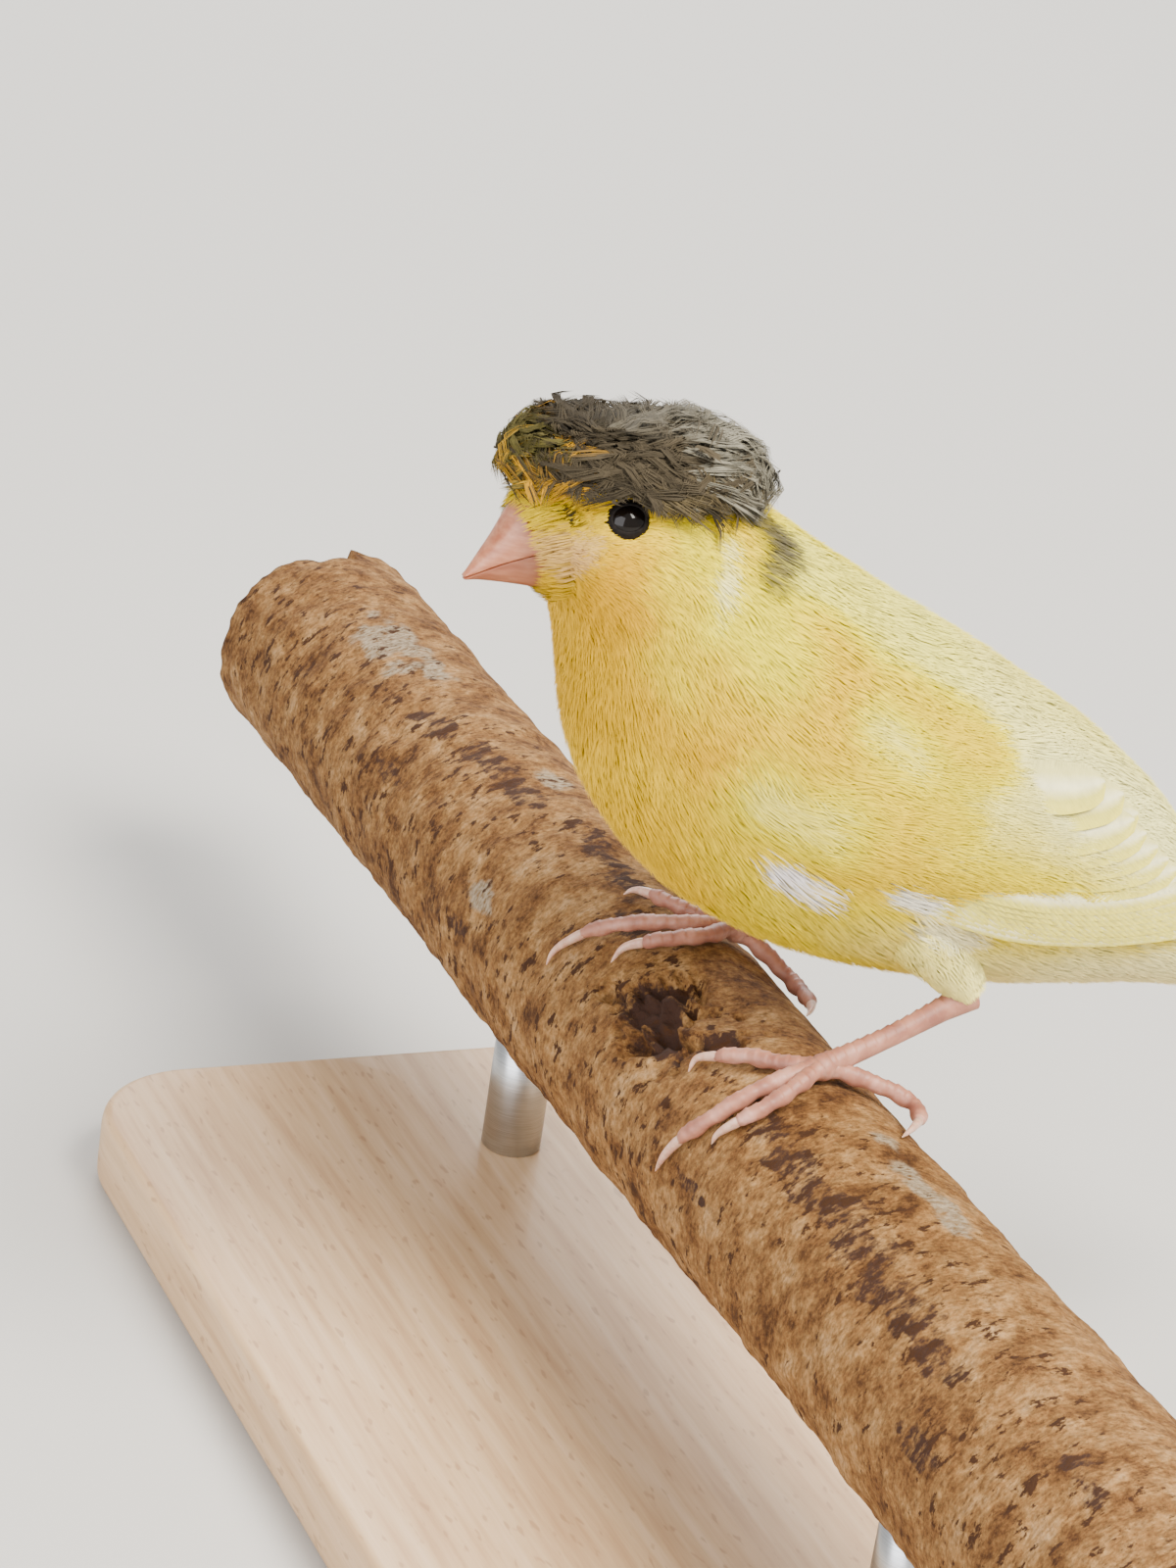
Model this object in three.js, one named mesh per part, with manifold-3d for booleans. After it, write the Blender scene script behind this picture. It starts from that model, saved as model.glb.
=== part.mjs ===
// A crested canary at life size, perched on a cut length of branch that a plain display stand holds up.
// Millimetres, +Z up, origin at the centre of the base's underside. The bird looks along -X and the branch
// runs along Y. The bird is modelled in its own axes, with x ahead, y to its left and z up, from a point on
// the branch's centre line, and one turned group carries it to its place.
import * as THREE from "three";
import { mergeVertices } from "three/addons/utils/BufferGeometryUtils.js";
import Module from "manifold-3d";

const wasm = await Module();
wasm.setup();

// Driving sizes
const GAP = 0.3;
const PERCH_RADIUS = 12.3;
const PERCH_HEIGHT = 36.2;
const PERCH_FAR_END = 118;
const PERCH_NEAR_END = -98;
const BASE_SIZE = [84, 140, 8];
const BASE_CORNER = 12;
const ROD_RADIUS = 3.2;
const ROD_PLACES = { stand_rod_far: 48, stand_rod_near: -44 };
const ROD_SOCKET = 3;
const TOE_RADIUS = 0.85;
const SHANK_RADIUS = 0.95;
const SCUTES = 9;
const EYE_RADIUS = 2.1;
const EYE_DEPTH = 1.45;
const VANE_THICKNESS = 0.55;
const VANE_UNDERSIDE = 3;
const BODY_RINGS = 32;
const BODY_SIDES = 24;

// The body's outline in stations from the bill's root to the tail's root: the lowest point (ahead, up), the
// highest point (ahead, up) and the half width
const STATIONS = [
  [28.7, 57.4, 31.4, 65.0, 3.9],
  [27.5, 56.0, 29.8, 67.2, 6.0],
  [26.7, 54.4, 26.3, 69.6, 7.7],
  [26.1, 52.4, 21.0, 70.8, 8.7],
  [25.5, 49.9, 15.0, 69.4, 9.5],
  [24.9, 46.7, 9.3, 65.6, 10.6],
  [23.5, 41.7, 3.0, 61.4, 12.4],
  [20.1, 35.3, -5.5, 56.4, 14.6],
  [12.5, 27.4, -14.0, 51.9, 15.8],
  [2.4, 21.8, -21.0, 47.8, 15.9],
  [-8.4, 18.6, -27.5, 43.8, 14.8],
  [-18.9, 16.4, -33.5, 39.4, 12.6],
  [-28.9, 15.2, -39.0, 34.6, 9.9],
  [-37.5, 14.4, -43.5, 29.8, 7.4],
  [-44.5, 13.4, -48.5, 25.2, 5.6],
  [-50.5, 12.6, -53.0, 21.4, 4.4],
  [-57.5, 12.2, -59.0, 17.8, 3.8],
];
const HEAD_END = 4.6;
const NECK_END = 6.4;
const TORSO_END = 13.0;

// Solids

const at = (x, y, z) => new THREE.Vector3(x, y, z);

function geometrySolid(geometry) {
  const bare = geometry.clone();
  bare.deleteAttribute("normal");
  bare.deleteAttribute("uv");
  const merged = mergeVertices(bare, 1e-4);
  const index = new Uint32Array(merged.index.array);
  const vertProperties = merged.attributes.position.array;
  const build = (triVerts) => new wasm.Manifold(new wasm.Mesh({ numProp: 3, vertProperties, triVerts }));
  const made = build(index);
  if (made.volume() > 0) return made;
  for (let i = 0; i < index.length; i += 3) [index[i + 1], index[i + 2]] = [index[i + 2], index[i + 1]];
  return build(index);
}

// A closed skin over rings of equally many points, with a fan over each end. A side whose number is in the
// turned list is split along its other diagonal, so that both faces of a thin blade are split alike.
function skin(rings, turned = []) {
  const count = rings[0].length;
  const positions = rings.flat().flatMap((p) => [p.x, p.y, p.z]);
  const faces = [];
  for (let r = 0; r + 1 < rings.length; r++) {
    for (let k = 0; k < count; k++) {
      const a = r * count + k;
      const b = r * count + ((k + 1) % count);
      if (turned.includes(k)) faces.push(a, b, b + count, a, b + count, a + count);
      else faces.push(a, b, a + count, b, b + count, a + count);
    }
  }
  const ends = [[0, rings[0], true], [(rings.length - 1) * count, rings.at(-1), false]];
  for (const [start, ring, first] of ends) {
    const middle = ring.reduce((sum, p) => sum.add(p), at(0, 0, 0)).divideScalar(count);
    const hub = positions.length / 3;
    positions.push(middle.x, middle.y, middle.z);
    for (let k = 0; k < count; k++) {
      const a = start + k;
      const b = start + ((k + 1) % count);
      faces.push(...(first ? [hub, b, a] : [hub, a, b]));
    }
  }
  const geometry = new THREE.BufferGeometry();
  geometry.setAttribute("position", new THREE.BufferAttribute(new Float32Array(positions), 3));
  geometry.setIndex(faces);
  return geometrySolid(geometry);
}

// One feather: a thin closed blade along a line of places on a surface, each with the surface's outward
// direction. A roll lifts its one edge over the feather beside it.
function vane(line, { halfWidth, roll }) {
  const shape = along(halfWidth);
  const rings = line.map(({ place, out }, i) => {
    const before = line[Math.max(i - 1, 0)].place;
    const after = line[Math.min(i + 1, line.length - 1)].place;
    const forward = after.clone().sub(before).normalize();
    const side = forward.clone().cross(out).normalize().applyAxisAngle(forward, roll);
    const lift = side.clone().cross(forward).normalize();
    const t = i / (line.length - 1);
    const width = shape(t);
    const half = (VANE_THICKNESS / 2) * (1 - 0.35 * t * t);
    const spot = (across, up) => place.clone().addScaledVector(side, across).addScaledVector(lift, up);
    return [spot(-width, -half), spot(-width, half), spot(width, half), spot(width, -half)];
  });
  return skin(rings, [VANE_UNDERSIDE]);
}

// A round bar along a smooth line through the points, with its radius given along the way from 0 to 1. Grown,
// it is that much thicker and longer at both ends.
function bar(points, radiusAt, steps, sides, grow = 0) {
  const line = new THREE.CatmullRomCurve3(points);
  const frames = line.computeFrenetFrames(steps, false);
  const rings = [];
  for (let i = 0; i <= steps; i++) {
    const past = i === 0 ? -grow : i === steps ? grow : 0;
    const middle = line.getPointAt(i / steps).addScaledVector(frames.tangents[i], past);
    const radius = radiusAt(i / steps) + grow;
    const ring = [];
    for (let k = 0; k < sides; k++) {
      const turn = (2 * Math.PI * k) / sides;
      ring.push(
        middle.clone()
          .addScaledVector(frames.normals[i], radius * Math.cos(turn))
          .addScaledVector(frames.binormals[i], radius * Math.sin(turn)),
      );
    }
    rings.push(ring);
  }
  return skin(rings);
}

function ball(middle, radius, detail = 7) {
  return geometrySolid(new THREE.SphereGeometry(radius, 2 * detail, detail)).translate(middle.toArray());
}

function joined(solids) {
  const whole = solids.reduce((sum, next) => sum.add(next));
  return largest(whole);
}

function largest(solid) {
  const bodies = solid.decompose();
  bodies.sort((a, b) => b.volume() - a.volume());
  return bodies[0];
}

const mirrored = (solid) => solid.mirror([0, 1, 0]);

// Steps between named values along the way from 0 to 1
function along(values) {
  const last = values.length - 1;
  return (t) => {
    const place = Math.min(Math.max(t, 0), 1) * last;
    const i = Math.min(Math.floor(place), last - 1);
    return values[i] + (values[i + 1] - values[i]) * (place - i);
  };
}

// The body's surface

const lowLine = new THREE.CatmullRomCurve3(
  STATIONS.map((s) => at(s[0], s[4], s[1])), false, "catmullrom", 0.5);
const highLine = new THREE.CatmullRomCurve3(
  STATIONS.map((s) => at(s[2], s[4], s[3])), false, "catmullrom", 0.5);

// The ring's middle, the half way up to its highest point, and its half width at a station number
function section(station) {
  const t = Math.min(station / (STATIONS.length - 1), 1);
  const low = lowLine.getPoint(t);
  const high = highLine.getPoint(t);
  return {
    middle: at((low.x + high.x) / 2, 0, (low.z + high.z) / 2),
    half: at((high.x - low.x) / 2, 0, (high.z - low.z) / 2),
    width: low.y,
  };
}

// A point on the body: turn 0 is the top of the back, and a quarter turn is the left side.
function bodyPoint(station, turn) {
  const { middle, half, width } = section(station);
  return middle.addScaledVector(half, Math.cos(turn)).add(at(0, width * Math.sin(turn), 0));
}

function bodyNormal(station, turn) {
  const step = 0.01;
  const back = bodyPoint(station + step, turn).sub(bodyPoint(station - step, turn));
  const round = bodyPoint(station, turn + step).sub(bodyPoint(station, turn - step));
  return back.cross(round).normalize().negate();
}

function bodySolid(grow) {
  const rings = [];
  const last = STATIONS.length - 1;
  for (let i = 0; i <= BODY_RINGS; i++) {
    const station = (last * i) / BODY_RINGS;
    const ring = [];
    for (let k = 0; k < BODY_SIDES; k++) {
      const turn = (2 * Math.PI * (k + 0.5)) / BODY_SIDES;
      const inside = Math.min(Math.max(station, 0.02), last - 0.02);
      ring.push(bodyPoint(station, turn).addScaledVector(bodyNormal(inside, turn), grow));
    }
    rings.push(ring);
  }
  return skin(rings);
}

// The flat cut across the body at a station, as a plane whose normal points ahead
function cutPlane(station) {
  const { middle, half } = section(station);
  const normal = at(half.z, 0, -half.x).normalize();
  return { normal: normal.toArray(), offset: middle.dot(normal) };
}

function ahead(solid, station) {
  const { normal, offset } = cutPlane(station);
  return solid.trimByPlane(normal, offset + GAP / 2);
}

function behind(solid, station) {
  const { normal, offset } = cutPlane(station);
  return solid.trimByPlane(normal.map((n) => -n), GAP / 2 - offset);
}

// The bill: both halves taper from the face to the tip along the line of the mouth.

const MOUTH = [at(27.5, 0, 62.2), at(30.1, 0, 61.2), at(33.2, 0, 59.8), at(36.0, 0, 58.05)];
const CULMEN = [at(29.0, 0, 66.8), at(32.1, 0, 64.9), at(33.9, 0, 61.7), at(36.15, 0, 58.1)];
const GONYS = [at(25.8, 0, 56.4), at(29.2, 0, 57.0), at(32.4, 0, 57.5), at(35.2, 0, 57.8)];
const BILL_WIDTH = along([3.8, 3.4, 2.75, 2.0, 1.2, 0.3]);
const BILL_ROOM = 0.62;
const BILL_RINGS = 8;
const BILL_SIDES = 12;

function billHalf(outer, mouthDrop, widthScale, grow) {
  const mouthLine = new THREE.CatmullRomCurve3(MOUTH);
  const outerLine = new THREE.CatmullRomCurve3(outer);
  const rings = [];
  for (let i = 0; i <= BILL_RINGS; i++) {
    const t = i / BILL_RINGS;
    const past = i === 0 ? -grow : 0;
    const mouth = mouthLine.getPoint(t).add(at(past, 0, mouthDrop));
    const rise = outerLine.getPoint(t).add(at(past, 0, 0)).sub(mouth);
    const height = Math.max(rise.length(), 0.25) + grow;
    rise.normalize();
    const width = BILL_WIDTH(t) * widthScale + grow;
    const ring = [];
    for (let k = 0; k < BILL_SIDES; k++) {
      const turn = (2 * Math.PI * (k + 0.5)) / BILL_SIDES;
      const lift = Math.cos(turn);
      const high = lift > 0 ? height * lift : (0.12 + grow) * lift;
      ring.push(mouth.clone().addScaledVector(rise, high).add(at(0, width * Math.sin(turn), 0)));
    }
    rings.push(ring);
  }
  return skin(rings);
}

const upperBill = (grow) => billHalf(CULMEN, 0.2, 1, grow);
const lowerBill = (grow) => billHalf(GONYS, -0.42, 0.9, grow);
const NOSTRIL = { place: at(31.1, 2.55, 63.9), radius: 0.5 };

function nostrils() {
  const pit = ball(NOSTRIL.place, NOSTRIL.radius, 4);
  return pit.add(mirrored(pit));
}

// The eye, and the lid that rings it

const EYE_STATION = 2.46;
const EYE_TURN = 1.07;
const eyeNormal = bodyNormal(EYE_STATION, EYE_TURN);
const eyeSurface = bodyPoint(EYE_STATION, EYE_TURN);
const eyeMiddle = eyeSurface.clone().addScaledVector(eyeNormal, -EYE_DEPTH);

function lid() {
  const ring = new THREE.TorusGeometry(1.95, 0.5, 5, 16);
  ring.scale(1.08, 0.92, 1);
  const turned = new THREE.Object3D();
  turned.position.copy(eyeSurface);
  turned.lookAt(eyeSurface.clone().add(eyeNormal));
  turned.updateMatrix();
  ring.applyMatrix4(turned.matrix);
  return geometrySolid(ring);
}

// The branch: nearly round, with a swelling and a hollow knot between the feet

function perchRadius(angle, y) {
  const swell = 0.35 * Math.sin(y / 19 + 0.6) + 0.25 * Math.sin(2 * angle + y / 31);
  const knot = -1.1 * Math.exp(-(((y - 3) / 6) ** 2) - ((angle - 0.12) / 0.32) ** 2);
  return PERCH_RADIUS + swell * 0.6 + knot;
}

function perch(grow) {
  const sides = 28;
  const rings = [];
  const steps = 16;
  for (let i = 0; i <= steps; i++) {
    const y = PERCH_NEAR_END - grow + ((PERCH_FAR_END - PERCH_NEAR_END + 2 * grow) * i) / steps;
    const ring = [];
    for (let k = 0; k < sides; k++) {
      const angle = (2 * Math.PI * k) / sides - Math.PI;
      const radius = perchRadius(angle, y) + grow;
      ring.push(at(-radius * Math.sin(angle), y, PERCH_HEIGHT + radius * Math.cos(angle)));
    }
    rings.push(ring);
  }
  return skin(rings);
}

function box(size, middle) {
  return geometrySolid(new THREE.BoxGeometry(...size)).translate(middle);
}

// Legs and feet

// A point on the branch in the bird's axes: degrees ahead of its top, to the left, and off its surface
function onPerch(degrees, left, off) {
  const angle = THREE.MathUtils.degToRad(degrees);
  const radius = perchRadius(angle, -left) + GAP + off;
  return at(radius * Math.sin(angle), left, radius * Math.cos(angle));
}

// Each toe from its root to its claw's tip, as degrees ahead of the branch's top, left, and height off it
const FEET = {
  left: {
    joint: onPerch(-2.5, 12.9, 1.35),
    heel: at(-16.4, 10.4, 19.0),
    toes: [
      [[4, 12.2, 1.2], [11, 10.6, 0.9], [20, 8.1, 0.95], [29, 6.2, 0.9], [36, 4.6, 0.75], [42, 4.6, 0.1]],
      [[4, 13.0, 1.2], [17, 13.3, 0.95], [31, 13.4, 0.95], [46, 12.9, 0.9], [60, 11.6, 0.95],
        [71, 10.4, 0.75], [82, 8.9, 0.1]],
      [[4, 13.8, 1.2], [16, 15.3, 0.95], [30, 16.0, 0.9], [41, 15.6, 0.95], [49, 14.8, 0.7], [54, 14.4, 0.1]],
      [[-8, 13.1, 1.2], [-20, 13.9, 1.1], [-30, 14.8, 1.4], [-37, 16.4, 1.8], [-36, 18.8, 1.5],
        [-29, 21.0, 0.9], [-20, 22.8, 0.1]],
    ],
  },
  right: {
    joint: onPerch(-22, -16.2, 1.35),
    heel: at(-21.2, -10.4, 19.0),
    toes: [
      [[-16, -15.6, 1.2], [-5, -14.3, 0.9], [8, -14.1, 0.95], [19, -14.9, 0.9], [29, -16.0, 0.75],
        [37, -16.0, 0.1]],
      [[-15, -16.4, 1.2], [-1, -16.7, 0.95], [18, -18.6, 0.95], [33, -20.8, 0.9], [44, -22.0, 0.9],
        [52, -22.8, 0.75], [59, -23.3, 0.1]],
      [[-16, -17.2, 1.2], [-8, -19.2, 0.9], [-1, -21.2, 0.95], [4, -23.6, 0.9], [8, -25.2, 0.6],
        [12, -25.6, 0.1]],
      [[-28, -15.6, 1.2], [-38, -14.2, 1.0], [-46, -12.6, 1.0], [-48, -10.0, 1.0], [-44, -6.6, 0.9],
        [-38, -4.0, 0.6], [-32, -2.2, 0.1]],
    ],
  },
};
const TOE_GIRTH = along([1.25, 0.95, 1.02, 0.86, 0.98, 0.8, 0.9, 0.52, 0.36, 0.1]);

function foot({ joint, toes }, grow) {
  const pieces = [ball(joint, 1.3 + grow, 5)];
  for (const toe of toes) {
    const points = toe.map(([degrees, left, off]) => onPerch(degrees, left, off));
    pieces.push(bar([joint, ...points], (t) => TOE_RADIUS * TOE_GIRTH(t), 11, 6, grow));
  }
  return joined(pieces);
}

// The shank, with the broad scutes of its front as low steps in its girth
function shank({ joint, heel }, grow) {
  const girth = along([1.5, 1.1, 0.98, 0.95, 1.0, 1.15]);
  const middle = joint.clone().lerp(heel, 0.5).add(at(0, 0, -0.3));
  const radius = (t) => SHANK_RADIUS * girth(t) + 0.1 * (1 - ((t * SCUTES) % 1));
  return bar([heel, middle, joint], radius, 2 * SCUTES, 7, grow);
}

function thigh({ heel }, grow) {
  const side = Math.sign(heel.y);
  const root = at(heel.x + 8.5, heel.y - side * 1.2, heel.z + 9.5);
  const girth = along([4.4, 4.2, 3.5, 2.7, 1.9]);
  return bar([root, heel.clone().add(at(0.2, 0, 0.4))], girth, 6, 12, grow);
}

// Crest: flat locks in tiers that spread from a parting on the crown, arch and fall like a cap.

const CROWN = at(24.6, 0, 71.6);
const CREST_TIERS = [
  { count: 14, share: 1.0, lift: 0, width: 2.4 },
  { count: 9, share: 0.74, lift: 0.6, width: 2.4 },
  { count: 5, share: 0.46, lift: 1.0, width: 2.1 },
];
// Each value goes from straight ahead round to straight behind.
const CREST_REACH = along([9.2, 9.0, 8.9, 8.9, 10.0, 13.8, 17.4]);
const CREST_DROP = along([4.3, 4.6, 3.2, 2.2, 4.8, 5.7, 6.8]);
const CREST_RISE = along([1.7, 1.5, 1.2, 1.0, 1.3, 1.9, 2.3]);
const LOCK_SEGMENTS = 3;
const CREST_HEART = at(19, 0, 60);

// A seeded draw from -1 to 1
function makeDraw(seed) {
  let state = seed;
  return () => {
    state = (Math.imul(state, 1664525) + 1013904223) >>> 0;
    return state / 2 ** 31 - 1;
  };
}

function crest() {
  const draw = makeDraw(7);
  const core = geometrySolid(new THREE.SphereGeometry(1, 14, 8)).scale([7.4, 4.7, 3.2]);
  const locks = [core.translate([21.6, 0, 69.7])];
  CREST_TIERS.forEach(({ count, share, lift, width }, tier) => {
    for (let i = 0; i < count; i++) {
      const angle = (2 * Math.PI * (i + 0.5 * (tier % 2) + 0.12 * draw())) / count;
      const round = Math.abs(Math.atan2(Math.sin(angle), Math.cos(angle))) / Math.PI;
      const shorter = 0.04 * draw() - 0.04;
      const bend = 0.12 * draw();
      const line = [];
      for (let k = 0; k <= LOCK_SEGMENTS; k++) {
        const t = 0.1 + (0.9 * k) / LOCK_SEGMENTS;
        const fall = (Math.PI / 2) * t * (share + shorter);
        const height = CREST_RISE(round) * Math.sin(2 * fall) - CREST_DROP(round) * (1 - Math.cos(fall));
        const heading = angle + bend * t * t;
        const far = CREST_REACH(round) * Math.sin(fall);
        const place = CROWN.clone().add(at(far * Math.cos(heading), far * Math.sin(heading), height + lift));
        const out = place.clone().sub(CREST_HEART).normalize();
        line.push({ place, out });
      }
      locks.push(vane(line, { halfWidth: [0.4, 0.75 * width, width, 0.4 * width], roll: 0.14 }));
    }
  });
  return joined(locks);
}

// Wings: rows of feathers on the body's side, each from root to tip as the side view shows it (ahead, up).
// A row's values go from its lowest feather to its highest; off is how far it lies off the body.

const WING_NEAREST_BACK = 0.5;
const WING_ROWS = {
  primaries: {
    count: 5, root: [[-5, 32.6], [-6, 37.0]], width: 2.15, off: [1.1, 1.5], segments: 3,
    tips: [[-46.8, 22.9], [-49.8, 23.9], [-47.6, 25.4], [-43.4, 27.2], [-39.2, 28.9]],
  },
  secondaries: {
    count: 4, root: [[-6, 38.2], [-6, 42.2]], width: 2.5, off: [1.15, 1.35], segments: 2,
    tips: [[-35.6, 30.4], [-33.8, 32.2], [-31.6, 34.2], [-29.2, 36.2]],
  },
  tertials: {
    count: 2, root: [[-6, 43.4], [-5, 46.6]], width: 3.1, off: [1.2, 1.4], segments: 2,
    tips: [[-25.4, 39.2], [-19.6, 42.6]],
  },
  greater_coverts: {
    count: 6, root: [[4.5, 36.5], [3.0, 47.6]], width: 2.2, off: [1.35, 1.8], segments: 2,
    tips: [[-8.2, 32.2], [-12.4, 35.0], [-14.8, 37.6], [-15.0, 40.2], [-13.2, 42.8], [-10.4, 45.2]],
  },
  median_coverts: {
    count: 3, root: [[11.2, 40.6], [7.4, 47.0]], width: 3.1, off: [1.2, 2.2], segments: 2,
    tips: [[-1.6, 36.4], [-5.2, 40.4], [-3.8, 44.8]],
  },
};
const WING_CORE = {
  low: [[15.4, 38.4], [9, 35.0], [2, 32.6], [-6, 31.8], [-16, 30.6]],
  high: [[14.4, 41.2], [9.5, 46.0], [3, 49.2], [-6, 48.4], [-16, 42.4]],
};
const FLIGHT_ROLL = 0.17;
// A wing feather's half width from its root to its tip, in parts of its widest
const QUILL_SHAPE = [0.4, 0.85, 1, 0.9, 0.35];
const TAIL_SEGMENTS = 3;

// The place on the body, as station and turn, that the side view shows at this point
function seenOnBody(x, z) {
  const off = (station) => {
    const { middle, half } = section(station);
    return (x - middle.x) * half.z - (z - middle.z) * half.x;
  };
  let low = 0;
  let high = STATIONS.length - 1;
  for (let i = 0; i < 30; i++) {
    const mid = (low + high) / 2;
    if (off(mid) > 0) high = mid;
    else low = mid;
  }
  const { middle, half } = section(low);
  const lift = ((x - middle.x) * half.x + (z - middle.z) * half.z) / half.lengthSq();
  return { station: low, turn: Math.acos(Math.min(Math.max(lift, -1), 1)) };
}

// A place off the body where the side view shows this point, with the body's outward direction
function offBody(x, z, off) {
  const { station, turn } = seenOnBody(x, z);
  const near = Math.max(turn, WING_NEAREST_BACK);
  const out = bodyNormal(Math.min(station, STATIONS.length - 1.1), near);
  return { place: at(x, bodyPoint(station, near).y, z).addScaledVector(out, off), out };
}

function wingCore() {
  const lines = [WING_CORE.low, WING_CORE.high].map(
    (points) => new THREE.CatmullRomCurve3(points.map(([x, z]) => at(x, 0, z))));
  const rows = 6;
  const columns = 4;
  const rings = [];
  for (let i = 0; i <= rows; i++) {
    const [low, high] = lines.map((line) => line.getPoint(i / rows));
    const inner = [];
    const outer = [];
    for (let k = 0; k <= columns; k++) {
      const p = low.clone().lerp(high, k / columns);
      const crown = Math.sin((Math.PI * (k + 0.8)) / (columns + 1.6)) * (1 - 0.35 * (i / rows) ** 2);
      inner.push(offBody(p.x, p.z, 0.6).place);
      outer.push(offBody(p.x, p.z, 0.9 + 0.9 * crown).place);
    }
    rings.push([...inner, ...outer.reverse()]);
  }
  return skin(rings);
}

function featherRow({ count, root, tips, width, off, segments }) {
  const halfWidth = QUILL_SHAPE.map((part) => part * width);
  const feathers = [];
  for (let i = 0; i < count; i++) {
    const share = i / (count - 1);
    const start = at(root[0][0], 0, root[0][1]).lerp(at(root[1][0], 0, root[1][1]), share);
    const end = at(tips[i][0], 0, tips[i][1]);
    const line = [];
    for (let k = 0; k <= segments; k++) {
      const t = k / segments;
      const p = start.clone().lerp(end, t).add(at(0, 0, -0.8 * Math.sin(Math.PI * t)));
      line.push(offBody(p.x, p.z, off[0] + (off[1] - off[0]) * t));
    }
    feathers.push(vane(line, { halfWidth, roll: FLIGHT_ROLL }));
  }
  return feathers;
}

function wing() {
  return joined([wingCore(), ...Object.values(WING_ROWS).flatMap(featherRow)]);
}

// Tail: folded feathers in a stack, the middle pair on top, with coverts over and under their roots.

const TAIL_ROOT = at(-39.5, 0, 21.6);
const TAIL_TIP = at(-72.5, 0, 11.0);
const TAIL_PAIRS = 6;
const TAIL_STEP = 0.3;
const TAIL_NOTCH = 3.4;
const TAIL_COVERTS = {
  upper: { turns: [-0.45, 0, 0.45], ends: [14.9, 15.6, 14.9] },
  under: { turns: [-0.8, 0, 0.8], ends: [15.1, 15.8, 15.1] },
};
const TAIL_CORE_END = 15.0;

function tailFeather(pair, side) {
  const down = TAIL_STEP * (pair + (side < 0 ? 0.5 : 0));
  const root = TAIL_ROOT.clone().add(at(0, side * (0.3 + 0.32 * pair), -down));
  const tip = TAIL_TIP.clone().add(
    at(TAIL_NOTCH * (1 - pair / (TAIL_PAIRS - 1)) ** 1.3, side * (1.3 + 0.82 * pair), -down));
  const line = [];
  for (let k = 0; k <= TAIL_SEGMENTS; k++) {
    const t = k / TAIL_SEGMENTS;
    const place = root.clone().lerp(tip, t).add(at(0, 0, 0.7 * Math.sin(Math.PI * t)));
    line.push({ place, out: at(0.3, 0, 1).normalize() });
  }
  return vane(line, { halfWidth: [1.6, 2.6, 3.0, 1.3], roll: -side * 0.09 });
}

function tailCoverts({ turns, ends }, top) {
  return turns.map((turn, i) => {
    const line = [];
    for (let k = 0; k <= TAIL_SEGMENTS; k++) {
      const t = k / TAIL_SEGMENTS;
      const station = TORSO_END + 0.35 + (ends[i] - TORSO_END - 0.35) * t;
      const around = top ? turn * (1 - 0.25 * t) : Math.PI - turn * (1 - 0.25 * t);
      const out = bodyNormal(Math.min(station, STATIONS.length - 1.1), around);
      line.push({ place: bodyPoint(station, around).addScaledVector(out, -0.35 + 0.25 * t), out });
    }
    return vane(line, { halfWidth: [1.2, 1.9, 1.6, 0.6], roll: -0.1 * Math.sign(turn) });
  });
}

function tail() {
  const pieces = [ahead(behind(bodySolid(0), TORSO_END), TAIL_CORE_END)];
  for (let pair = TAIL_PAIRS - 1; pair >= 0; pair--) {
    pieces.push(tailFeather(pair, 1), tailFeather(pair, -1));
  }
  pieces.push(...tailCoverts(TAIL_COVERTS.upper, true), ...tailCoverts(TAIL_COVERTS.under, false));
  return largest(behind(joined(pieces), TORSO_END));
}

// Stand

function base() {
  const [x, y, height] = BASE_SIZE;
  const bevel = 1;
  const [wide, deep] = [x / 2 - bevel, y / 2 - bevel];
  const shape = new THREE.Shape();
  shape.moveTo(wide - BASE_CORNER, -deep);
  shape.absarc(wide - BASE_CORNER, -deep + BASE_CORNER, BASE_CORNER, -Math.PI / 2, 0);
  shape.absarc(wide - BASE_CORNER, deep - BASE_CORNER, BASE_CORNER, 0, Math.PI / 2);
  shape.absarc(-wide + BASE_CORNER, deep - BASE_CORNER, BASE_CORNER, Math.PI / 2, Math.PI);
  shape.absarc(-wide + BASE_CORNER, -deep + BASE_CORNER, BASE_CORNER, Math.PI, 1.5 * Math.PI);
  const slab = new THREE.ExtrudeGeometry(shape, {
    depth: height - 2 * bevel, bevelEnabled: true, bevelThickness: bevel, bevelSize: bevel, bevelSegments: 1,
    curveSegments: 3,
  });
  return geometrySolid(slab).translate([0, 0, bevel]);
}

function rod(y, grow) {
  const foot = BASE_SIZE[2] - ROD_SOCKET;
  const top = PERCH_HEIGHT - PERCH_RADIUS + 3;
  const shaft = new THREE.CylinderGeometry(ROD_RADIUS + grow, ROD_RADIUS + grow, top - foot + 2 * grow, 20);
  return geometrySolid(shaft.rotateX(Math.PI / 2)).translate([0, y, (top + foot) / 2]);
}

// Finishes and the assembly

const MATERIALS = {
  yellow: { color: 0xf0c73c, roughness: 0.9 },
  paleYellow: { color: 0xf2e28c, roughness: 0.9 },
  crest: { color: 0x5e5a3c, roughness: 0.9 },
  horn: { color: 0xdcaa9a, roughness: 0.5 },
  eye: { color: 0x0b0908, roughness: 0.08 },
  legSkin: { color: 0xd09a8a, roughness: 0.6 },
  bark: { color: 0x9a6f35, roughness: 0.9 },
  wood: { color: 0xd8c29a, roughness: 0.5 },
  steel: { color: 0xb8babd, roughness: 0.35, metalness: 1 },
};

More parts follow.
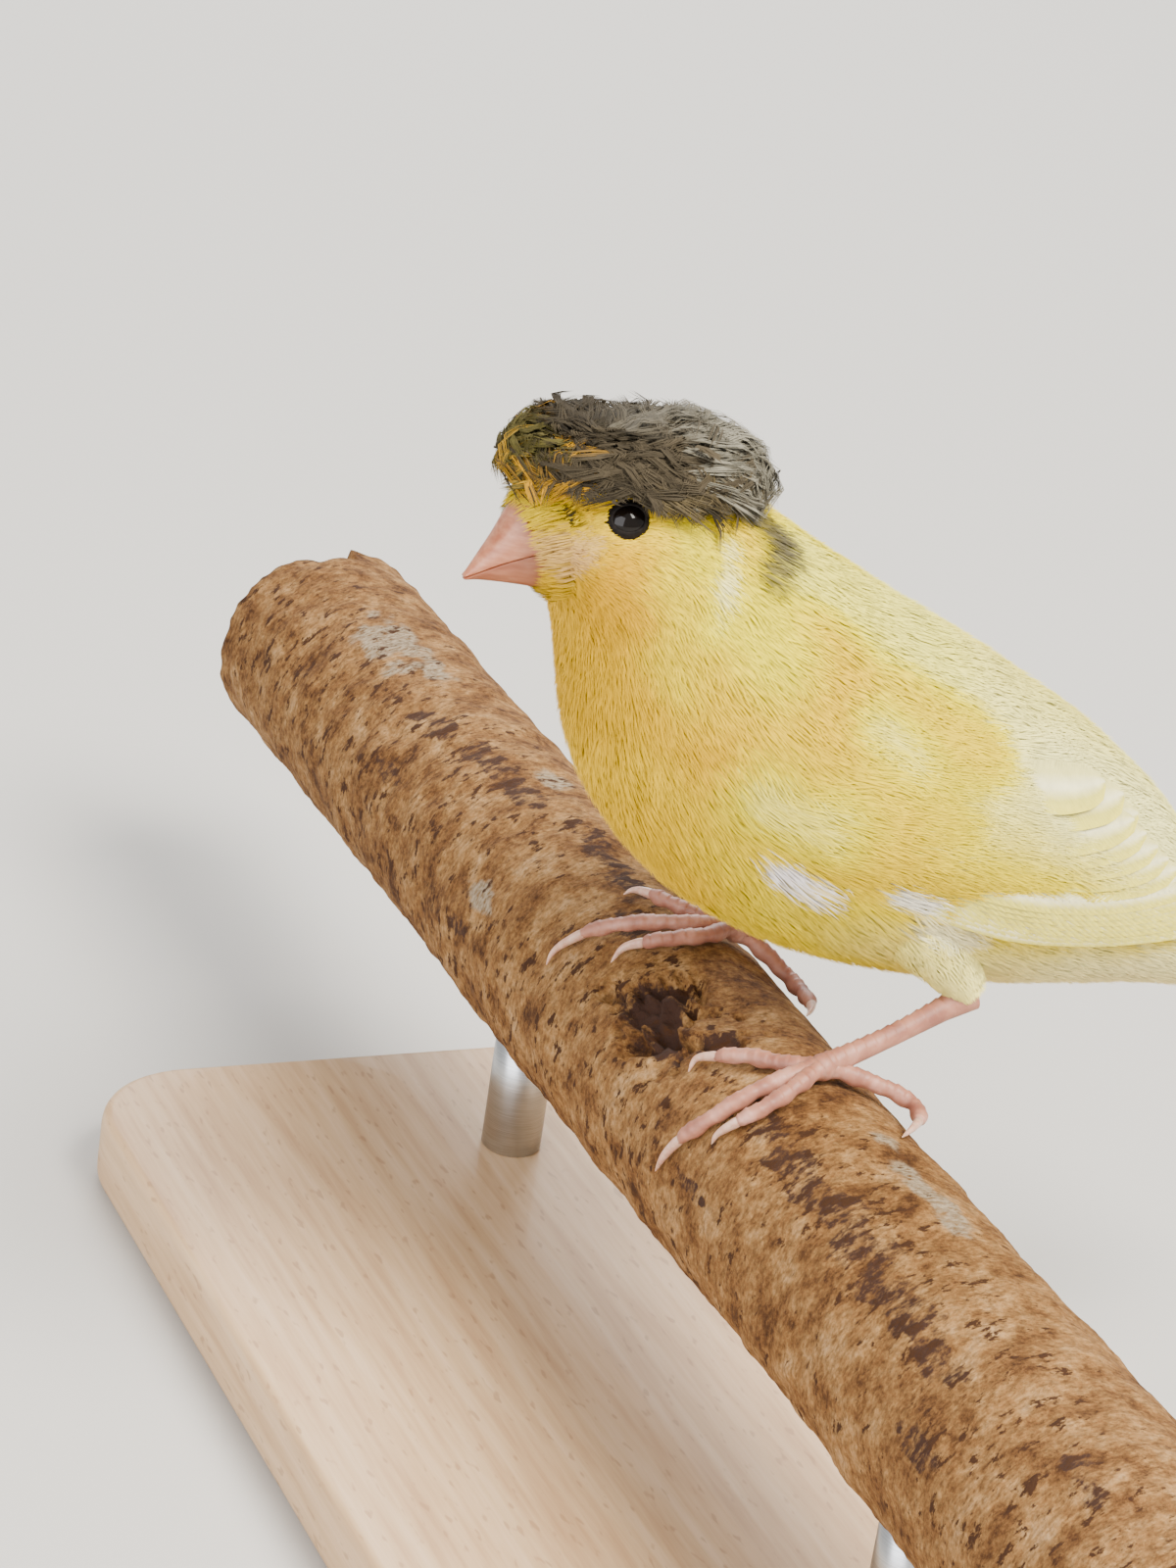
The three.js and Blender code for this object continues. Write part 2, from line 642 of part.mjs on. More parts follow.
function mesh(name, solid, material) {
  const { vertProperties, triVerts, numProp } = solid.getMesh();
  const count = vertProperties.length / numProp;
  const positions = new Float32Array(3 * count);
  for (let i = 0; i < count; i++) {
    positions.set(vertProperties.subarray(i * numProp, i * numProp + 3), 3 * i);
  }
  const geometry = new THREE.BufferGeometry();
  geometry.setAttribute("position", new THREE.BufferAttribute(positions, 3));
  geometry.setIndex(new THREE.BufferAttribute(triVerts, 1));
  geometry.computeVertexNormals();
  const made = new THREE.Mesh(geometry, new THREE.MeshStandardMaterial(MATERIALS[material]));
  made.name = name;
  return made;
}

const body = bodySolid(0);
const clearance = bodySolid(GAP);
const bird = new THREE.Group();
bird.position.z = PERCH_HEIGHT;
bird.rotation.z = Math.PI;

const sockets = ball(eyeMiddle, EYE_RADIUS + GAP);
const lids = lid().add(mirrored(lid()));
const headCuts = upperBill(BILL_ROOM).add(lowerBill(BILL_ROOM)).add(sockets).add(mirrored(sockets));
const head = largest(ahead(body, HEAD_END).add(lids).subtract(headCuts));
const lidRoom = ball(eyeSurface, 3.1).add(mirrored(ball(eyeSurface, 3.1)));
const neck = ahead(behind(body, HEAD_END), NECK_END);
const thighs = { left: thigh(FEET.left, 0), right: thigh(FEET.right, 0) };
const thighRoom = thigh(FEET.left, GAP).add(thigh(FEET.right, GAP));
const torso = largest(ahead(behind(body, NECK_END), TORSO_END).subtract(thighRoom));

bird.add(
  mesh("head", head, "yellow"),
  mesh("neck", neck, "yellow"),
  mesh("torso", torso, "yellow"),
  mesh("upper_bill", upperBill(0).subtract(nostrils()), "horn"),
  mesh("lower_bill", lowerBill(0), "horn"),
  mesh("eye_left", ball(eyeMiddle, EYE_RADIUS), "eye"),
  mesh("eye_right", mirrored(ball(eyeMiddle, EYE_RADIUS)), "eye"),
  mesh("crest", largest(crest().subtract(clearance).subtract(lidRoom)), "crest"),
  mesh("wing_left", largest(wing().subtract(clearance)), "paleYellow"),
  mesh("wing_right", mirrored(largest(wing().subtract(clearance))), "paleYellow"),
  mesh("tail", tail(), "paleYellow"),
);
for (const side of ["left", "right"]) {
  const leg = FEET[side];
  const kneeRoom = shank(leg, GAP);
  const footRoom = foot(leg, GAP);
  bird.add(
    mesh("thigh_" + side, largest(thighs[side].subtract(kneeRoom)), "paleYellow"),
    mesh("shank_" + side, largest(shank(leg, 0).subtract(footRoom).subtract(clearance)), "legSkin"),
    mesh("foot_" + side, foot(leg, 0), "legSkin"),
  );
}

const part = new THREE.Group();
const rods = Object.entries(ROD_PLACES);
const rodRoom = rods.map(([, y]) => rod(y, GAP)).reduce((sum, next) => sum.add(next));
part.add(
  bird,
  mesh("perch", perch(0).subtract(box([8, 6, 3], [-2, PERCH_FAR_END, PERCH_HEIGHT + PERCH_RADIUS])), "bark"),
  mesh("stand_base", base().subtract(rodRoom), "wood"),
  ...rods.map(([name, y]) => mesh(name, rod(y, 0).subtract(perch(GAP)), "steel")),
);

export default part;
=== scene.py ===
# %% [markdown]
# A crested canary at life size, gripping its branch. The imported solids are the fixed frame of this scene:
# they give every outline in metres, and this script dresses them. Soft plumage can be made from particle
# hair, from displaced surfaces or from real mesh. It is real mesh here, because only mesh survives an
# export, and because each little feather can then take its colour from its own place on the bird.

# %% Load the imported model
import math

import bpy
import numpy as np
from mathutils import Matrix, Vector


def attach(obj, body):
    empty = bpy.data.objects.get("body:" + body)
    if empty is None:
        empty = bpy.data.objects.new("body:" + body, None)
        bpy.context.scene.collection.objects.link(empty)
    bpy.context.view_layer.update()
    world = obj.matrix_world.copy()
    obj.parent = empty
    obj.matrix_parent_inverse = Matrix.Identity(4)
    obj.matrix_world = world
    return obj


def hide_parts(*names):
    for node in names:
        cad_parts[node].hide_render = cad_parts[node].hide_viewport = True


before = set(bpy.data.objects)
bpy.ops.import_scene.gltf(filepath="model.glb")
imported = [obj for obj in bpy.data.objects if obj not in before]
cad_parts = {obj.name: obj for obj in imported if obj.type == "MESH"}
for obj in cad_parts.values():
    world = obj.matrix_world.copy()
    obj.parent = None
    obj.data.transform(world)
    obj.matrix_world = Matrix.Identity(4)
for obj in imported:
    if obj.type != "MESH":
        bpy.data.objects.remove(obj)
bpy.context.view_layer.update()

MM = 0.001
print("nodes:", sorted(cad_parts))

# %% [markdown]
# The photograph was taken close up, a little from above and with the camera tilted. A camera can be aimed
# by eye or by a constraint. This one's place and its three axes are plain numbers, solved beforehand from
# the photograph's own perspective, so the view is the same each time and the picture needs no shift.

# %% The camera
LENS_MM = 99.0
CAMERA_PLACE = (-0.17934, -0.31871, 0.22841)
CAMERA_AXES = ((0.91219, -0.38586, 0.13792), (0.04057, 0.41997, 0.90663), (-0.40776, -0.82142, 0.39875))

camera = bpy.data.objects.new("camera", bpy.data.cameras.new("camera"))
bpy.context.scene.collection.objects.link(camera)
camera.data.lens = LENS_MM
camera.data.sensor_width = 36
camera.data.clip_start = 0.01
camera.data.clip_end = 10
camera.matrix_world = Matrix.Translation(CAMERA_PLACE) @ Matrix(CAMERA_AXES).transposed().to_4x4()
bpy.context.scene.camera = camera
print(f"camera: {LENS_MM} mm lens, {camera.matrix_world.translation.length:.3f} m from the base")

# %% [markdown]
# Hex colours are what a screen shows, and shaders count in linear light, so one function turns them. Nodes
# can be placed by hand in the shader editor. Here one small function adds any node with its settings and
# links, so each material below reads like a recipe, and the same recipe always gives the same finish.

# %% Colour and shader helpers
def linear(code):
    channels = [int(code[i:i + 2], 16) / 255 for i in (1, 3, 5)]
    return tuple(c / 12.92 if c <= 0.04045 else ((c + 0.055) / 1.055) ** 2.4 for c in channels)


def add(tree, kind, settings=(), links=()):
    """A shader node; each key is the name or number of a property or socket.

    A link comes from an output, or from a node's first output. A colour ramp takes (place, hex) stops.
    """
    node = tree.nodes.new("ShaderNode" + kind)
    for name, value in dict(settings).items():
        if name == "stops":
            band = node.color_ramp
            while len(band.elements) < len(value):
                band.elements.new(0.5)
            for element, (place, code) in zip(band.elements, value):
                element.position = place
                element.color = (*linear(code), 1)
        elif isinstance(name, str) and hasattr(node, name):
            setattr(node, name, value)
        else:
            node.inputs[name].default_value = value
    for socket, source in dict(links).items():
        tree.links.new(source.outputs[0] if hasattr(source, "outputs") else source, node.inputs[socket])
    return node


def new_material(name, settings):
    """A Principled material with its settings: the material, its tree and its shader node."""
    made = bpy.data.materials.new(name)
    made.use_nodes = True
    shader = made.node_tree.nodes["Principled BSDF"]
    for socket, value in settings.items():
        shader.inputs[socket].default_value = value
    return made, made.node_tree, shader


def surface(shader, colour, relief=None):
    """Gives the shader its colour, from a node or an output, and its relief from a bump node."""
    links = shader.id_data.links
    links.new(colour.outputs[0] if hasattr(colour, "outputs") else colour, shader.inputs["Base Color"])
    if relief:
        links.new(relief.outputs["Normal"], shader.inputs["Normal"])


print("half grey on a screen is", round(linear("#808080")[0], 3), "in linear light")

# %% [markdown]
# The stage is a pale floor under a soft studio light. The photo's light falls from above and from the
# right, so the bird's back is the brightest part and its belly is in gentle shade. Sun lamps would give
# hard shadows, so three broad area lamps and a pale sky do the work here.

# %% Floor and lights
FLOOR_HALF = 2.0

floor_data = bpy.data.meshes.new("floor")
floor_data.from_pydata(
    [(-FLOOR_HALF, -FLOOR_HALF, 0), (FLOOR_HALF, -FLOOR_HALF, 0),
     (FLOOR_HALF, FLOOR_HALF, 0), (-FLOOR_HALF, FLOOR_HALF, 0)],
    [], [(0, 1, 2, 3)])
floor = bpy.data.objects.new("floor", floor_data)
bpy.context.scene.collection.objects.link(floor)
# Uncoated paper: it scatters light evenly, so it shows soft shadows and no reflection
floor_paper = new_material("matt studio paper", {"Base Color": (*linear("#c6c3be"), 1), "Roughness": 0.9})[0]
floor_data.materials.append(floor_paper)

LIGHT_AIM = Vector((0, 0, 0.08))
LIGHTS = [
    # (lamp, place, size, watts, colour)
    ("key", (0.25, -0.55, 0.85), 0.5, 27.0, "#fffaf0"),
    ("fill", (-0.8, -0.5, 0.35), 0.8, 12.0, "#fbfbff"),
    ("rim", (0.3, 0.8, 0.6), 0.6, 9.0, "#ffffff"),
]
for name, place, size, watts, tint in LIGHTS:
    lamp = bpy.data.objects.new(name, bpy.data.lights.new(name, "AREA"))
    bpy.context.scene.collection.objects.link(lamp)
    lamp.data.size = size
    lamp.data.energy = watts
    lamp.data.color = linear(tint)
    lamp.location = place
    lamp.rotation_mode = "QUATERNION"
    lamp.rotation_quaternion = (Vector(place) - LIGHT_AIM).to_track_quat("Z", "Y")
world = bpy.data.worlds.new("studio")
bpy.context.scene.world = world
world.use_nodes = True
sky = world.node_tree.nodes["Background"]
sky.inputs["Color"].default_value = (*linear("#eeeeec"), 1)
sky.inputs["Strength"].default_value = 1.0
print("floor", 2 * FLOOR_HALF, "m wide,", len(LIGHTS), "area lamps")

# %% [markdown]
# The bird is described in its own axes: ahead, to its left and up from the branch's middle line, in
# millimetres as in the solids' source. A body like this can be sculpted, or lofted through rings. It is a
# loft here, through seventeen slanted rings from the bill's root to the tail's root, because every feather
# needs to know where it stands on it. The loft is worked out once as a table of points, slopes and outward
# normals. Then a place on the bird is a look-up: "station" runs from bill to tail, and "turn" runs round
# from the back over the left side.

# %% The loft of the body
PERCH_HEIGHT = 36.2
STATIONS = np.array([
    # Lowest place (ahead, up), highest place (ahead, up) and half width of each ring
    [28.7, 57.4, 31.4, 65.0, 3.9], [27.5, 56.0, 29.8, 67.2, 6.0], [26.7, 54.4, 26.3, 69.6, 7.7],
    [26.1, 52.4, 21.0, 70.8, 8.7], [25.5, 49.9, 15.0, 69.4, 9.5], [24.9, 46.7, 9.3, 65.6, 10.6],
    [23.5, 41.7, 3.0, 61.4, 12.4], [20.1, 35.3, -5.5, 56.4, 14.6], [12.5, 27.4, -14.0, 51.9, 15.8],
    [2.4, 21.8, -21.0, 47.8, 15.9], [-8.4, 18.6, -27.5, 43.8, 14.8], [-18.9, 16.4, -33.5, 39.4, 12.6],
    [-28.9, 15.2, -39.0, 34.6, 9.9], [-37.5, 14.4, -43.5, 29.8, 7.4], [-44.5, 13.4, -48.5, 25.2, 5.6],
    [-50.5, 12.6, -53.0, 21.4, 4.4], [-57.5, 12.2, -59.0, 17.8, 3.8],
])
LAST = len(STATIONS) - 1


def to_row(points):
    """From the bird's axes in millimetres to the model's frame in metres."""
    points = np.asarray(points, float)
    turned = np.stack([-points[..., 0], -points[..., 1], points[..., 2] + PERCH_HEIGHT], -1)
    return turned * MM


def smooth_line(points, along):
    """Catmull-Rom through the points; along counts in points."""
    points = np.asarray(points, float)
    ends = np.vstack([2 * points[0] - points[1], points, 2 * points[-1] - points[-2]])
    along = np.clip(np.asarray(along, float), 0, len(points) - 1)
    i = np.minimum(along.astype(int), len(points) - 2)
    t = (along - i)[..., None]
    a, b, c, d = ends[i], ends[i + 1], ends[i + 2], ends[i + 3]
    return (0.5 * ((2 * b) + (c - a) * t + (2 * a - 5 * b + 4 * c - d) * t ** 2
                   + (3 * b - a - 3 * c + d) * t ** 3))


def loft(station, turn):
    ring = smooth_line(STATIONS, station)
    low, high, width = ring[..., 0:2], ring[..., 2:4], ring[..., 4]
    middle, half = (low + high) / 2, (high - low) / 2
    return np.stack([middle[..., 0] + half[..., 0] * np.cos(turn), width * np.sin(turn),
                     middle[..., 1] + half[..., 1] * np.cos(turn)], -1)


def unit(v):
    return v / np.maximum(np.linalg.norm(v, axis=-1, keepdims=True), 1e-9)


TABLE_ROWS, TABLE_TURNS = 641, 720
table_s, table_t = np.meshgrid(
    np.linspace(0, LAST, TABLE_ROWS), np.arange(TABLE_TURNS) * 2 * math.pi / TABLE_TURNS, indexing="ij")
STEP = 0.01
# p: places, ps and pt: slopes along the body and round it, n: outward normals
table_p = loft(table_s, table_t)
inner_s = np.clip(table_s, STEP, LAST - STEP)
table_ps = (loft(inner_s + STEP, table_t) - loft(inner_s - STEP, table_t)) / (2 * STEP)
table_pt = (loft(table_s, table_t + STEP) - loft(table_s, table_t - STEP)) / (2 * STEP)
table_n = -unit(np.cross(table_ps, table_pt))
TABLE = np.concatenate([table_p, table_n, table_ps, table_pt], -1)


def look_up(station, turn, table=TABLE):
    """The table at any station and turn, by straight lines between its entries."""
    i = np.clip(station, 0, LAST) / LAST * (TABLE_ROWS - 1)
    j = np.mod(turn, 2 * math.pi) / (2 * math.pi) * TABLE_TURNS
    i0 = np.minimum(i.astype(int), TABLE_ROWS - 2)
    j0 = j.astype(int) % TABLE_TURNS
    j1 = (j0 + 1) % TABLE_TURNS
    fi, fj = (i - i0)[..., None], (j - np.floor(j))[..., None]
    return ((table[i0, j0] * (1 - fi) + table[i0 + 1, j0] * fi) * (1 - fj)
            + (table[i0, j1] * (1 - fi) + table[i0 + 1, j1] * fi) * fj)


low, high = table_p.reshape(-1, 3).min(0), table_p.reshape(-1, 3).max(0)
print("body loft:", np.round(low, 1), "to", np.round(high, 1), "mm")

# %% [markdown]
# Under the silky outer feathers the folded wing lifts the outline by about two millimetres. Its edge
# doesn't show on the living bird, because shoulder and flank feathers lie over it. A wing of its own under
# the coat would leave a hard step. A height over the loft, rising smoothly inside the wing's outline as the
# side view shows it, lets one unbroken coat flow over body and wing.

# %% The lift of the folded wing
WING_OUTLINE = np.array([
    [14.5, 41.0], [12.5, 45.0], [7.0, 48.6], [0.0, 49.6], [-8.0, 48.2], [-16.0, 44.8], [-24.0, 40.0],
    [-32.0, 35.0], [-40.0, 29.6], [-48.5, 24.2], [-46.0, 22.6], [-34.0, 24.6], [-20.0, 28.2], [-8.0, 31.4],
    [2.0, 33.2], [9.5, 36.4],
])
WING_LIFT = 1.7
WING_RIM, WING_SOFT_EDGE = 1.0, 6.0
SIDE_FROM, SIDE_FADE = 0.35, 0.3


def inside_wing(ahead, up):
    """How far inside the wing's outline, in millimetres; negative outside."""
    spot = np.stack([ahead, up], -1)
    nearest = np.full(ahead.shape, 1e9)
    inside = np.zeros(ahead.shape, bool)
    for a, b in zip(WING_OUTLINE, np.roll(WING_OUTLINE, -1, 0)):
        edge = b - a
        t = np.clip(((spot - a) @ edge) / (edge @ edge), 0, 1)
        nearest = np.minimum(nearest, np.linalg.norm(spot - a - t[..., None] * edge, axis=-1))
        crosses = (a[1] > up) != (b[1] > up)
        inside ^= crosses & (ahead < (b[0] - a[0]) * (up - a[1]) / (b[1] - a[1] + 1e-12) + a[0])
    return np.where(inside, nearest, -nearest)


def ease(x):
    x = np.clip(x, 0, 1)
    return x * x * (3 - 2 * x)


wing_depth = inside_wing(table_p[..., 0], table_p[..., 2])
side_facing = ease((np.abs(np.sin(table_t)) - SIDE_FROM) / SIDE_FADE)
WING_TABLE = (WING_LIFT * ease((wing_depth + WING_RIM) / WING_SOFT_EDGE) * side_facing)[..., None]
print("wing lift up to", round(float(WING_TABLE.max()), 2), "mm")

# %% [markdown]
# Feathers lie from bill to tail over the body, but on the wing they lie along the wing, which slopes less.
# In hair tools this is combed by hand. Here a second table holds the lie of the feathers, turned gently
# from one to the other at the wing's edge, so it follows from the shape.

# %% The lie of the feathers
WING_SLOPE_BELOW, WING_SLOPE_ABOVE = -0.24, -0.36
WING_LOWEST, WING_TALL = 30, 20
LIE_RIM, LIE_SOFT_EDGE = 3.0, 5.0
LEAST_DET = 3

height_in_wing = np.clip((table_p[..., 2] - WING_LOWEST) / WING_TALL, 0, 1)
wing_slope = WING_SLOPE_BELOW + (WING_SLOPE_ABOVE - WING_SLOPE_BELOW) * height_in_wing
det = table_ps[..., 0] * table_pt[..., 2] - table_ps[..., 2] * table_pt[..., 0]
det = np.where(np.abs(det) < LEAST_DET, np.copysign(LEAST_DET, det), det)
go_s = -(table_pt[..., 2] + wing_slope * table_pt[..., 0]) / det
go_t = (wing_slope * table_ps[..., 0] + table_ps[..., 2]) / det
wing_way = unit(table_ps * go_s[..., None] + table_pt * go_t[..., None])
wing_share = (ease((wing_depth + LIE_RIM) / LIE_SOFT_EDGE) * side_facing)[..., None]
LIE_TABLE = unit(unit(table_ps) * (1 - wing_share) + wing_way * wing_share)
print(f"{100 * (wing_share > 0.5).mean():.0f} of 100 places have feathers that lie along the wing")

# %% [markdown]
# A yellow canary is never one yellow. The carotenoid yellow is deepest on cheek, throat and breast, pales
# to cream on the neck and flanks, and gives way to white on the rump. Markings can be painted on a texture,
# but a texture needs an unwrap of every barb. These are a short list of soft strokes in space, each from
# one place on the bird to another with a width and a colour, as a painter would lay them.

# %% The strokes of colour
GROUND = "#f2cc60"
STROKES = [
    # (from, to, half width, colour, strength, softness): places as ahead, sideways, up
    ((-10, 6, 52), (-40, 5, 33), 8.0, "#f3eab8", 0.9, 0.6),
    ((-22, 12, 40), (-36, 8, 32), 5.0, "#f5eec8", 0.85, 0.6),
    ((-15, 14, 42), (-34, 9, 33), 7.5, "#f7f0c4", 0.8, 0.8),
    ((4, 6, 60), (-8, 5, 54), 6.5, "#f7eeb0", 0.9, 0.6),
    ((-30, 6, 16), (-55, 3, 14), 7.0, "#f2edcf", 0.85, 0.5),
    ((-6, 11, 22), (-26, 8, 19), 6.5, "#f8f1c8", 0.85, 0.7),
    ((12, 4, 28), (-6, 5, 20), 7.0, "#f2d68c", 0.85, 0.6),
    ((12, 10, 32), (-4, 13, 27), 4.0, "#f4dd9e", 0.75, 0.6),
    ((24, 2, 46), (15, 4, 31), 8.0, "#e8b84a", 0.85, 0.6),
    ((26, 5, 58), (25, 3, 48), 6.5, "#d8a60c", 0.9, 0.5),
    ((25.5, 7.9, 59.2), (22.5, 8.4, 55.0), 4.6, "#e0a806", 0.95, 0.6),
    ((21, 9, 50), (14, 13, 45.4), 5.0, "#e2b00a", 0.95, 0.6),
    ((13.9, 13, 45.4), (7.0, 14.6, 44.0), 3.0, "#e3ae08", 0.95, 0.5),
    ((16, 12, 50), (6, 13, 50.5), 3.6, "#ecc430", 0.75, 0.7),
    ((5.4, 12, 53.6), (2.5, 14, 48.6), 4.2, "#e8bc12", 0.95, 0.6),
    ((-4, 14, 50), (-12, 13, 45), 3.4, "#ecc826", 0.85, 0.7),
    ((-2, 15, 41), (-9, 15, 39.5), 2.4, "#f2d055", 0.75, 0.7),
    ((19.8, 10, 52.9), (18.5, 10.5, 51.5), 2.4, "#f4dc8a", 0.5, 0.8),
    ((12.2, 11, 57.5), (9.5, 12, 54.5), 4.2, "#f5e596", 0.8, 0.7),
    ((9.4, 14.4, 41.6), (3.5, 15.2, 39.6), 3.8, "#f5eebc", 0.75, 0.9),
    ((-0.5, 14, 47.5), (-4.0, 14.5, 44.8), 2.8, "#f6efc0", 0.75, 0.9),
    ((-5.0, 15.3, 38.6), (-9.5, 15.0, 36.4), 1.9, "#f3eedd", 0.8, 0.6),
    ((6.4, 13.6, 33.4), (1.6, 13.9, 31.0), 1.7, "#f2ebea", 1.0, 0.4),
    ((-5.0, 15.2, 32.0), (-9.0, 15.4, 30.2), 1.4, "#f4efe6", 0.95, 0.4),
    ((-9.5, 14.4, 27.4), (-14.5, 13.6, 25.6), 1.8, "#f2edd6", 0.8, 0.5),
    ((14.5, 8.6, 63.0), (15.2, 9.9, 59.7), 1.4, "#f9f0cc", 0.75, 0.8),
    ((15.2, 9.9, 59.7), (16.3, 10.8, 56.4), 1.3, "#f8efc8", 0.75, 0.8),
    ((19.6, 9.3, 60.4), (18.2, 9.9, 56.8), 2.6, "#f3d768", 0.8, 0.8),
    ((18.0, 8.6, 64.4), (17.0, 9.3, 62.4), 2.0, "#efdd88", 0.8, 0.6),
    ((29.8, 4.6, 62.6), (27.4, 6.8, 63.4), 1.9, "#cfa883", 0.95, 0.6),
    ((29.4, 5.4, 60.2), (28.0, 6.4, 61.8), 1.7, "#d0a484", 0.95, 0.6),
    ((29.0, 3.5, 57.2), (28.4, 5.0, 58.8), 1.4, "#cfa66e", 0.85, 0.6),
    ((31.8, 3.4, 61.2), (30.2, 4.4, 62.4), 1.9, "#cfa480", 0.95, 0.5),
    ((28.2, 4.6, 66.2), (25.8, 5.9, 67.3), 1.15, "#f8c01a", 1.0, 0.4),
    ((25.8, 5.9, 67.3), (22.2, 7.3, 66.8), 1.0, "#f6c52c", 1.0, 0.4),
    ((30.1, 4.1, 66.0), (28.2, 5.1, 65.5), 0.8, "#38332b", 1.0, 0.5),
    ((12.0, 4.2, 66.4), (7.4, 5.7, 62.2), 1.9, "#554f46", 0.92, 0.7),
    ((7.4, 5.9, 62.2), (9.6, 8.4, 60.6), 2.0, "#5a544a", 0.9, 0.7),
]
print(len(STROKES), "strokes of colour on", GROUND)

# %% [markdown]
# One function reads those strokes for the skin and for every feather, so both always agree. A coat also
# looks paler than a single feather, as light runs on from barb to barb and comes out whiter. So each colour
# loses some of its blue before it goes on, which leaves the eye with the yellow that was meant.

# %% Reading the strokes
BLUE_LOSS, LEAST_BLUE, RICHER = 0.68, 0.005, 0.16


def deepen(colours):
    """Less blue, and a little darker where the colour is rich."""
    red, green, blue = np.moveaxis(np.clip(colours, 0, 1), -1, 0)
    blue = np.maximum(blue - BLUE_LOSS * np.maximum(green - blue, 0), LEAST_BLUE)
    rich = 1 - blue / np.maximum(green, LEAST_BLUE)
    return np.stack([red, green, blue], -1) * (1 - RICHER * rich ** 2)[..., None]


def stroked(spots, ground, strokes):
    """Linear colours at places: soft strokes over a ground, the later ones on top."""
    colours = np.broadcast_to(np.array(linear(ground)), spots.shape).copy()
    for start, end, width, code, strength, softness in strokes:
        start, end = np.array(start, float), np.array(end, float)
        t = np.clip(((spots - start) @ (end - start)) / ((end - start) @ (end - start)), 0, 1)
        far = np.linalg.norm(spots - start - t[..., None] * (end - start), axis=-1) / width
        weight = strength * ease((1 + softness - far) / (2 * softness))[..., None]
        colours = colours * (1 - weight) + np.array(linear(code)) * weight
    return colours


def mark(points, rough=0.0, draw=None):
    """The markings at places on the bird; rough moves each place a little, which breaks up the edges."""
    spots = np.array(points, float)
    spots[..., 1] = np.abs(spots[..., 1])
    if rough:
        spots = spots + draw.normal(0, rough, spots.shape)
    return deepen(stroked(spots, GROUND, STROKES))


print("breast:", np.round(mark(np.array([[20.0, 6.0, 44.0]]))[0], 3), "in linear light")

# %% [markdown]
# More than a hundred thousand little blades can't be made with mesh operators one by one, so every piece is
# written from arrays at one go. A piece carries its points, its triangles, its colour at each point and,
# where it is plumage, a bake map on which a tuft is a tiny patch at its root's place. Plumage also brings
# its own normals: they follow the body more than the single barb, so the light flows over it as over silk.

# %% Mesh pieces from arrays
def new_piece(name, points, faces, material, slot, colours=None, bake=None, normals=None, swaps=()):
    """A mesh object of triangles in the model's frame, which rides on the body."""
    data = bpy.data.meshes.new(name)
    faces = np.asarray(faces, np.int32)
    data.vertices.add(len(points))
    data.vertices.foreach_set("co", to_row(points).astype(np.float32).ravel())
    data.loops.add(faces.size)
    data.loops.foreach_set("vertex_index", faces.ravel())
    data.polygons.add(len(faces))
    data.polygons.foreach_set("loop_start", np.arange(0, faces.size, 3, dtype=np.int32))
    data.update(calc_edges=True)
    data.polygons.foreach_set("use_smooth", np.full(len(faces), True))
    if colours is not None:
        layer = data.color_attributes.new("Markings", "FLOAT_COLOR", "POINT")
        rgba = np.concatenate([colours, np.ones((len(points), 1))], 1).astype(np.float32)
        layer.data.foreach_set("color", rgba.ravel())
    if bake is not None:
        uv = data.uv_layers.new(name="OFBake")
        uv.data.foreach_set("uv", np.asarray(bake, np.float32)[faces.ravel()].ravel())
    if normals is not None:
        data.normals_split_custom_set_from_vertices((normals * np.array([-1, -1, 1])).astype(np.float32))
    data.materials.append(material)
    made = bpy.data.objects.new(name, data)
    bpy.context.scene.collection.objects.link(made)
    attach(made, "root")
    if swaps:
        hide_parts(*swaps)
    print(f"{name}: {len(points)} points, {len(faces)} triangles")

# %% [markdown]
# Skin, eyes, bill, toes, branch, base and rods are all tubes: rings of points joined one to the next, with
# a middle point at each end. A skin modifier or a bevelled curve could make them. Rings written out keep
# each row of points in hand, so a scute or a hollow can be raised in them afterwards.

# %% Tubes of rings
def tube(rings):
    """Points and triangles of a closed tube through rings of points (rows, sides, 3)."""
    rows, sides, _ = rings.shape
    r, k = np.meshgrid(np.arange(rows - 1), np.arange(sides), indexing="ij")
    a, b = r * sides + k, r * sides + (k + 1) % sides
    quads = np.stack([a, b, b + sides, a + sides], -1).reshape(-1, 4)
    here, after = np.arange(sides), (np.arange(sides) + 1) % sides
    hub, last = rows * sides, (rows - 1) * sides
    start = np.stack([np.full(sides, hub), after, here], -1)
    end = np.stack([np.full(sides, hub + 1), last + here, last + after], -1)
    points = np.vstack([rings.reshape(-1, 3), rings[0].mean(0), rings[-1].mean(0)])
    faces = np.vstack([quads[:, [0, 1, 2]], quads[:, [0, 2, 3]], start, end])
    a, b, c = (points[faces[:, k]] - points[-1] for k in range(3))
    inside_out = (a * np.cross(b, c)).sum() < 0
    return points, faces[:, ::-1] if inside_out else faces


def gather(parts):
    """Several (points, faces) as one."""
    points, faces, count = [], [], 0
    for p, f in parts:
        points.append(p)
        faces.append(f + count)
        count += len(p)
    return np.vstack(points), np.vstack(faces)


print("a tube of 4 rings of 6 has", len(tube(np.zeros((4, 6, 3)))[1]), "triangles")

# %% [markdown]
# Plumage reflects softly. Each barb is keratin, clear and smooth, but thousands of them side by side
# scatter the light, so the whole reads as a matt silk. A hair shader would need strands, and these are
# mesh, so it is the usual surface shader with high roughness and a little sheen at grazing angles. The
# colour comes with the mesh from the markings, and the nodes only add a fine grain of light and dark.

# %% Plumage materials
# A real barb is 0.03 mm wide, too fine to show, so barbs count as 0.3 mm here and the grain is four of them
BARB_WIDTH_MM, BARBS_A_GRAIN = 0.3, 4


